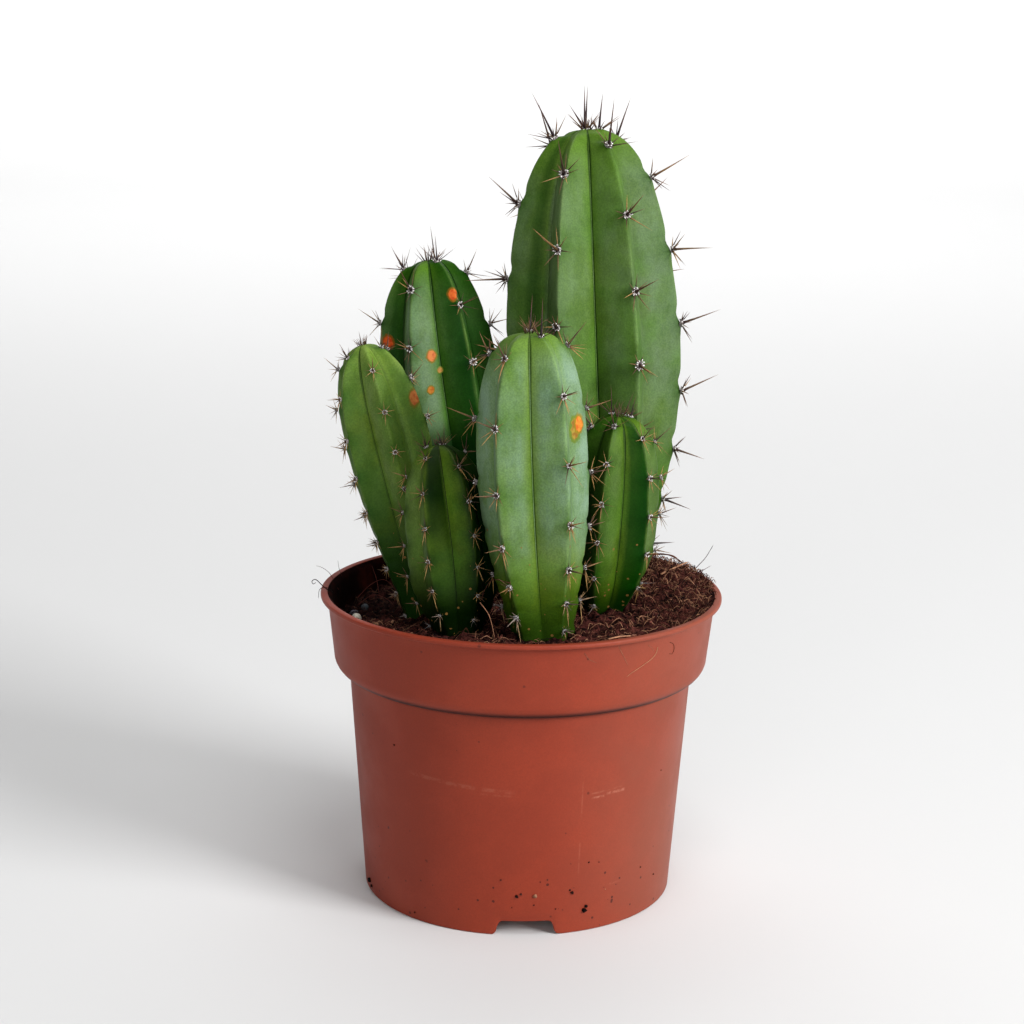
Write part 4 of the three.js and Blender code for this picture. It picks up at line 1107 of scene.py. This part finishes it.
def toLitter(name, heap, material, smooth=True):  # a piece that lies on the soil, darker where the soil has painted shade
    heap["values"]["damp"] = [soilShadeAt(np.concatenate(heap["points"]))]
    return toPiece(name, heap, material, smooth)


def makeCrumbs(material):
    draw, look, heap = random.Random(61), crumbLook, newHeap()
    low, high = look["size"]
    for i in range(look["count"] + look["atRim"]):
        spot = randomGround(draw, look["farthest"])
        if i >= look["count"]:  # heaped against the lip at the right
            angle, far = draw.uniform(*look["rimArc"]), draw.uniform(*look["rimBand"])
            x, y = far * math.cos(angle), far * math.sin(angle)
            spot = np.array((x, y, restHeight(x, y) - 0.25))
        size = low + (high - low) * draw.random() ** 2.5
        shape = np.array([size * draw.uniform(*span) for span in look["spans"]]) / 2
        pile(heap, *lump(draw, spot + (0, 0, shape[2] * 0.45), shape, 4, 6, look["ragged"]), tone=draw.random() ** 1.6)
    piece = toLitter("peat_crumbs", heap, material, smooth=False)
    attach(piece, "root")


def makeChips(material):
    draw, look, heap = random.Random(62), chipLook, newHeap()
    for _ in range(look["count"]):
        spot = randomGround(draw, look["farthest"])
        length = draw.uniform(*look["length"])
        heading, lean = draw.uniform(0, fullTurn), draw.uniform(-look["lean"], look["lean"])
        way = unit((math.cos(heading), math.sin(heading), lean))
        width, thick = length * draw.uniform(*look["width"]), length * draw.uniform(*look["thick"])
        points, *faces = lump(draw, (0, 0, 0), (length / 2, width / 2, max(thick, 0.12)), 6, 7, look["ragged"])
        side = unit(np.cross((0, 0, 1), way))
        turned = points[:, :1] * way + points[:, 1:2] * side + points[:, 2:] * np.cross(way, side)
        if not isClear(spot + way * length * np.array([[-0.5], [0.5]]), 0.3):
            continue
        pile(heap, turned + spot + (0, 0, 0.25), *faces, tone=draw.random())
    piece = toLitter("bark_chips", heap, material)
    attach(piece, "root")


def curlyPath(draw, start, heading, length, curl, lift, farthest, steps=5):
    path, spot, step = [], np.array(start, float), length / steps
    climb = draw.uniform(-0.3, 0.3)
    for i in range(steps + 1):
        x, y = spot[:2]
        if math.hypot(x, y) > farthest:
            break
        bow = lift * math.sin(math.pi * i / steps)
        path.append((x, y, restHeight(x, y) + 0.1 + bow + climb * lift * i / steps))
        heading += draw.uniform(-curl, curl)
        spot[:2] += step * np.array((math.cos(heading), math.sin(heading)))
    return np.array(path)


def makeFibres(material):
    draw, look, heap = random.Random(63), fibreLook, newHeap()
    for i in range(look["count"] + look["fluff"]):
        fluff = i >= look["count"]
        start = randomGround(draw, look["startWithin"])
        if fluff:  # loose tangle on the heap at the back right, half of it by the rim
            nearRim = draw.random() < 0.5
            angle = draw.uniform(0.1 if nearRim else look["fluffArc"][0], look["fluffArc"][1])
            far = draw.uniform(look["fluffRim" if nearRim else "fluffFrom"], look["fluffTo"])
            start = np.array((far * math.cos(angle), far * math.sin(angle), 0))
        length = draw.uniform(*look["length"])
        lift = draw.uniform(0, look["fluffLift"]) if fluff else draw.random() ** 3 * look["lift"]
        farthest = look["fluffFarthest" if fluff else "farthest"]
        path = curlyPath(draw, start, draw.uniform(0, fullTurn), length, look["curl"], lift, farthest)
        if len(path) < 4 or not isClear(path, 0.2):
            continue
        radii = draw.uniform(*look["radius"]) * np.linspace(1, 0.5, len(path))
        pile(heap, *tube(path, radii, 3), tone=draw.random() ** 1.3)
    piece = toLitter("peat_fibres", heap, material)
    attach(piece, "root")


strandLook = {  # thickness in mm, tone from dark to straw, knots in mm
    "rim_hook": (0.16, 0.05, (-57.4, -5.4, 91.3), (-59.4, -4.5, 92.7), (-61.2, -4, 94.2),
                 (-62.4, -4, 93.8), (-62.1, -4, 92.9), (-61.2, -4, 93.4)),
    "rim_wire": (0.09, 0.45, (-55.5, 8, 88), (-58, 9.5, 92.2), (-59.5, 10, 93.6), (-61.0, 10, 94.5), (-62.6, 10, 94.9)),
    "rim_hair": (0.08, 0.3, (-54.5, 15, 89), (-56.0, 16, 92.5), (-56.4, 16, 95.4)),
    "rim_drop": (0.13, 0.1, (-55.9, -5.6, 90.5), (-57.8, -4.6, 91.9), (-60.1, -4, 91.3), (-60.6, -4, 88.3)),
    "back_spike": (0.14, 0.15, (52.5, 23, 91), (55, 25, 93.2), (57.3, 26, 95.6), (59.6, 26.5, 99.6)),
    "back_spike_small": (0.1, 0.35, (50.5, 16, 91.5), (54.5, 17, 93), (58.5, 17.5, 95.2)),
    "stalk_long": (0.3, 0.7, (36, 33, 94), (41.5, 33.5, 94.4), (47, 30.5, 94.8), (49.4, 23, 94.4)),
    "stalk_short": (0.32, 0.95, (42.6, 12.6, 93.3), (47.4, 17, 94.5), (51.6, 19.6, 95.7)),
    "stalk_bent": (0.22, 0.6, (38, 24, 94.5), (43, 27, 96.2), (48.5, 24, 95.2), (53, 15, 92.5)),
    "between_loop": (0.12, 0.3, (-3.2, -46.6, 105.4), (-7.8, -43.5, 105.5), (-10.2, -42, 102.2), (-11.1, -41, 98.9)),
    "between_curl": (0.15, 0.85, (-11.6, -41, 98.2), (-9.3, -42, 95.4), (-8.2, -43, 92.8), (-7.2, -44, 88.4)),
    "left_tangle": (0.14, 0.5, (-50, 10, 85), (-46, 13, 88.5), (-42, 15, 89.5), (-38, 12, 87)),
    "left_tangle_low": (0.13, 0.55, (-49, 2, 85.2), (-45, 5, 87.3), (-41, 3, 87), (-38, -1, 85.8)),
    "left_root": (0.15, 0.4, (-44, 20, 84), (-45, 22, 88), (-46.5, 23, 92)),
}
rimStraw = {"thick": 0.3, "tone": 1.0, "knots": ((24.4, -52.8, 91.5), (27.7, -51.0, 91.75), (31.0, -49.6, 91.6))}
wallFibreLook = {  # thickness and tone, then angle in degrees and height in mm on the pot's band
    "band_fibre_a": (0.08, 0.75, (17.9, 87.9), (19.4, 86.0), (20.6, 85.3), (21.9, 84.6)),
    "band_fibre_b": (0.07, 0.85, (28.2, 88.9), (29.2, 87.2), (30.4, 85.2), (31.2, 83.8), (32.0, 82.7)),
    "band_fibre_c": (0.11, 0.95, (42.3, 86.4), (41.9, 84.8), (40.6, 83.4), (38.0, 82.2),
                     (35.6, 81.1), (33.4, 80.2), (31.7, 79.2)),
    "band_fibre_d": (0.08, 0.05, (47.3, 86.8), (49.0, 86.0), (49.7, 84.4), (49.0, 83.0), (47.4, 83.4)),
    "band_fibre_e": (0.08, 0.8, (38.5, 87.6), (40.2, 86.4), (41.0, 85.4)),
}
wallCrumbLook = [  # angle in degrees, height, size in mm and tone on the pot's wall
    (0.2, 12.6, 1.0, 0.1), (1.6, 13.3, 0.7, 0.25), (6.5, 12.7, 1.15, 0.85), (6.2, 9.8, 0.45, 0.2),
    (19.8, 12.9, 0.95, 0.15), (18.9, 13.8, 0.6, 0.2), (24.8, 6.7, 1.5, 0.0), (25.4, 7.9, 0.9, 0.05),
    (25.6, 21.8, 0.6, 0.2), (29.6, 21.3, 0.4, 0.4), (59.1, 10.7, 0.5, 0.1), (49.7, 15.5, 0.45, 0.2),
    (-5.4, 17.6, 0.6, 0.3), (-45.4, 53.6, 0.5, 0.15), (-39.5, 2.3, 0.5, 0.1), (33.0, 12.1, 0.35, 0.9),
    (57.2, 44.3, 0.45, 0.25), (-71.0, 3.6, 1.5, 0.0), (-69.0, 2.4, 0.9, 0.05), (8.2, 17.0, 0.4, 0.3),
    (-1.5, 9.0, 0.35, 0.15), (14.0, 8.2, 0.4, 0.2), (140.0, 9.0, 0.8, 0.2), (205.0, 14.0, 1.0, 0.1),
    (238.0, 6.5, 0.6, 0.3), (172.0, 22.0, 0.5, 0.2), (112.0, 11.5, 0.7, 0.15),
]


def pileStalk(heap, knots, thick, ends, sides, tone):  # the ends are shares of its thickness
    path = smoothPath(knots)
    pile(heap, *tube(path, thick * np.linspace(*ends, len(path)), sides), tone=tone)


def makeStrands(material):
    heap = newHeap()
    for thick, tone, *knots in strandLook.values():
        pileStalk(heap, knots, thick, (1, 0.55), 5, tone)
    pileStalk(heap, rimStraw["knots"], rimStraw["thick"], (0.8, 0.6), 6, rimStraw["tone"])
    piece = toPiece("stray_stalks", heap, material)
    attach(piece, "root")


def onWall(angle, z, proud):
    radius, angle = potRadius(z) + proud, math.radians(angle)
    return radius * math.sin(angle), -radius * math.cos(angle), z


def makeWallBits(material):
    draw, heap = random.Random(64), newHeap()
    for thick, tone, *spots in wallFibreLook.values():
        pileStalk(heap, [onWall(*spot, thick * 0.6) for spot in spots], thick, (1, 0.6), 4, tone)
    for angle, z, size, tone in wallCrumbLook:
        pile(heap, *lump(draw, onWall(angle, z, size * 0.12), [size / 2] * 3, 4, 7, 0.35), tone=tone)
    piece = toPiece("wall_crumbs", heap, material)
    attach(piece, "root")


whitePebble = {
    "name": "white_pebble", "node": "pebble_white", "slot": "pebble_pale", "at": (-48.3, -15.2),
    "size": (1.8, 1.5, 1.5), "colour": (0.62, 0.58, 0.5), "stain": (0.3, 0.24, 0.18), "seed": 3,
}
nearPebble = {
    "name": "grey_pebble_near", "node": "pebble_grey_1", "slot": "pebble_dark", "at": (-50.5, 5.7),
    "size": (1.6, 1.3, 1.2), "colour": (0.11, 0.095, 0.13), "stain": (0.05, 0.035, 0.045), "seed": 5,
}
farPebble = {
    "name": "grey_pebble_far", "node": "pebble_grey_2", "slot": "pebble_dark", "at": (-47.8, 12.6),
    "size": (1.3, 1.2, 1.3), "colour": (0.075, 0.1, 0.12), "stain": (0.04, 0.045, 0.05), "seed": 8,
}


def pebbleMaterial(look):
    material, web = newMaterial(look["name"].replace("_", ""))
    mottle = web.group("mottle", Patch=900.0, Grain=3500.0)
    colour = web.mix(mottle["Patches"], look["colour"], look["stain"])
    colour = web.mix(web.times(mottle["Grains"], 0.3), colour, look["stain"])
    dust = web.group("specks", Scale=1500.0, Share=0.3, Low=0.08, High=0.1)
    colour = web.mix(dust["Mask"], colour, soilLook["brown"])
    web.dress(colour, web.ease(mottle["Grains"], 0.0, 1.0, 0.6, 0.85), relief=(mottle["Height"], 0.4, 0.0002))
    return material


def makePebble(look):
    (x, y), size = look["at"], look["size"]
    points, *faces = lump(random.Random(look["seed"]), (0, 0, 0), (1, 1, 1), 14, 22, 0.0)
    wave = np.array([noise.noise(Vector(p) * 1.4 + Vector((look["seed"], 0, 0))) for p in points])
    points = points * (0.97 + 0.1 * wave)[:, None] * size
    points = points @ np.array(Matrix.Rotation(x, 3, "Z")).T + (x, y, float(soilHeight(x, y)) + size[2] / 2)
    heap = newHeap()
    pile(heap, points, *faces)
    piece = toPiece(look["name"], heap, pebbleMaterial(look))
    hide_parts(look["node"])
    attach(piece, "root")


def peatMaterial():
    material, web = newMaterial("peat")
    look = soilLook
    mottle = web.group("mottle", Patch=260.0, Grain=1400.0)
    colour = web.mix(mottle["Patches"], look["dark"], look["brown"])
    colour = web.mix(web.times(mottle["Grains"], 0.35), colour, look["light"])
    # painted shade on the soil
    colour = web.mix(web.times(web.mark("damp"), 0.9), colour, look["damp"])
    height = web.calc("ADD", web.times(mottle["Patches"], 0.8), mottle["Height"])
    web.dress(colour, web.ease(mottle["Grains"], 0.0, 1.0, 0.8, 1.0), 0.04, (height, 0.9, 0.0008))
    return material


def litterMaterial(name, look):  # crumbs, chips and fibres by their own tone
    material, web = newMaterial(name)
    tone, (dark, middle, light) = web.mark("tone"), look["tones"]
    mottle = web.group("mottle", Patch=700.0, Grain=3000.0)
    colour = web.mix(web.ease(tone, 0.0, 0.6), dark, middle)
    colour = web.mix(web.ease(tone, 0.55, 1.0), colour, light)
    colour = web.mix(web.times(mottle["Patches"], 0.4), colour, dark)
    # painted shade on the litter where the soil has it
    colour = web.mix(web.times(web.mark("damp"), 0.92), colour, dark)
    rough = web.ease(mottle["Grains"], 0.0, 1.0, look["roughness"], 1.0)
    web.dress(colour, rough, 0.08, (mottle["Height"], 0.5, 0.0002))
    return material


def makeStudio():
    material, web = newMaterial("studioPaper")
    web.dress(web.mix(web.noise(4.0), studio["paper"], scaled(studio["paper"], 0.985)), 0.9)
    radius, sweep, around = studio["floorRadius"], studio["sweep"], studio["around"]
    profile = [(radius * share, 0.0) for share in (0.0005, 0.25, 0.5, 0.75, 1.0)]
    for i in range(1, 13):
        angle = math.pi / 2 * i / 12
        profile.append((radius + sweep * math.sin(angle), sweep * (1 - math.cos(angle))))
    profile.append((radius + sweep, studio["wallHeight"]))
    angles = fullTurn * np.arange(around) / around
    rows = [atHeight(r * np.cos(angles), r * np.sin(angles), z) for r, z in profile]
    heap = newHeap()
    faces = gridFaces(len(rows), around)[:, ::-1]
    pile(heap, np.concatenate([*rows, [(0, 0, 0)]]) / mm, faces, fan(0, around, len(rows) * around))
    floor = toPiece("studio_floor", heap, material)


def isShown(stem, place):  # a cushion that is neither in the soil nor pressed to a neighbour
    x, y, z = place["at"]
    return z > soilHeight(x, y) + 1.2 and isClear(place["at"][None, :], 1.2, stem)


def makePlant():
    for make in (makeMottle, makeSpecks, makeScar, makeBloom, makeMark):
        make()
    print("shader groups ready")
    makePot(potMaterial("terracottaPlastic", 0.22), potMaterial("terracottaInside", 0.02))
    print("pot ready")
    for stem in allStems:
        measureStem(stem)
    makeSoil(peatMaterial())
    makeCrumbs(litterMaterial("peatCrumbs", crumbLook))
    fibres = litterMaterial("peatFibre", fibreLook)
    for make in (makeChips, makeFibres, makeStrands, makeWallBits):
        make(fibres)
    for look in (whitePebble, nearPebble, farPebble):
        makePebble(look)
    print("soil, litter and pebbles ready")
    spines, wool = spineMaterial(), woolMaterial()
    for stem in allStems:
        places = cushionPlaces(stem)
        makeStemSkin(stem, places, skinMaterial(stem))
        shown = [place for place in places if isShown(stem, place)]
        makeSpines(stem, shown, spines)
        makeWool(stem, shown, wool)
        print(stem["name"], "ready with", len(shown), "spine cushions")


makeCamera()
makeLights()
makeStudio()
print("studio ready")
makePlant()
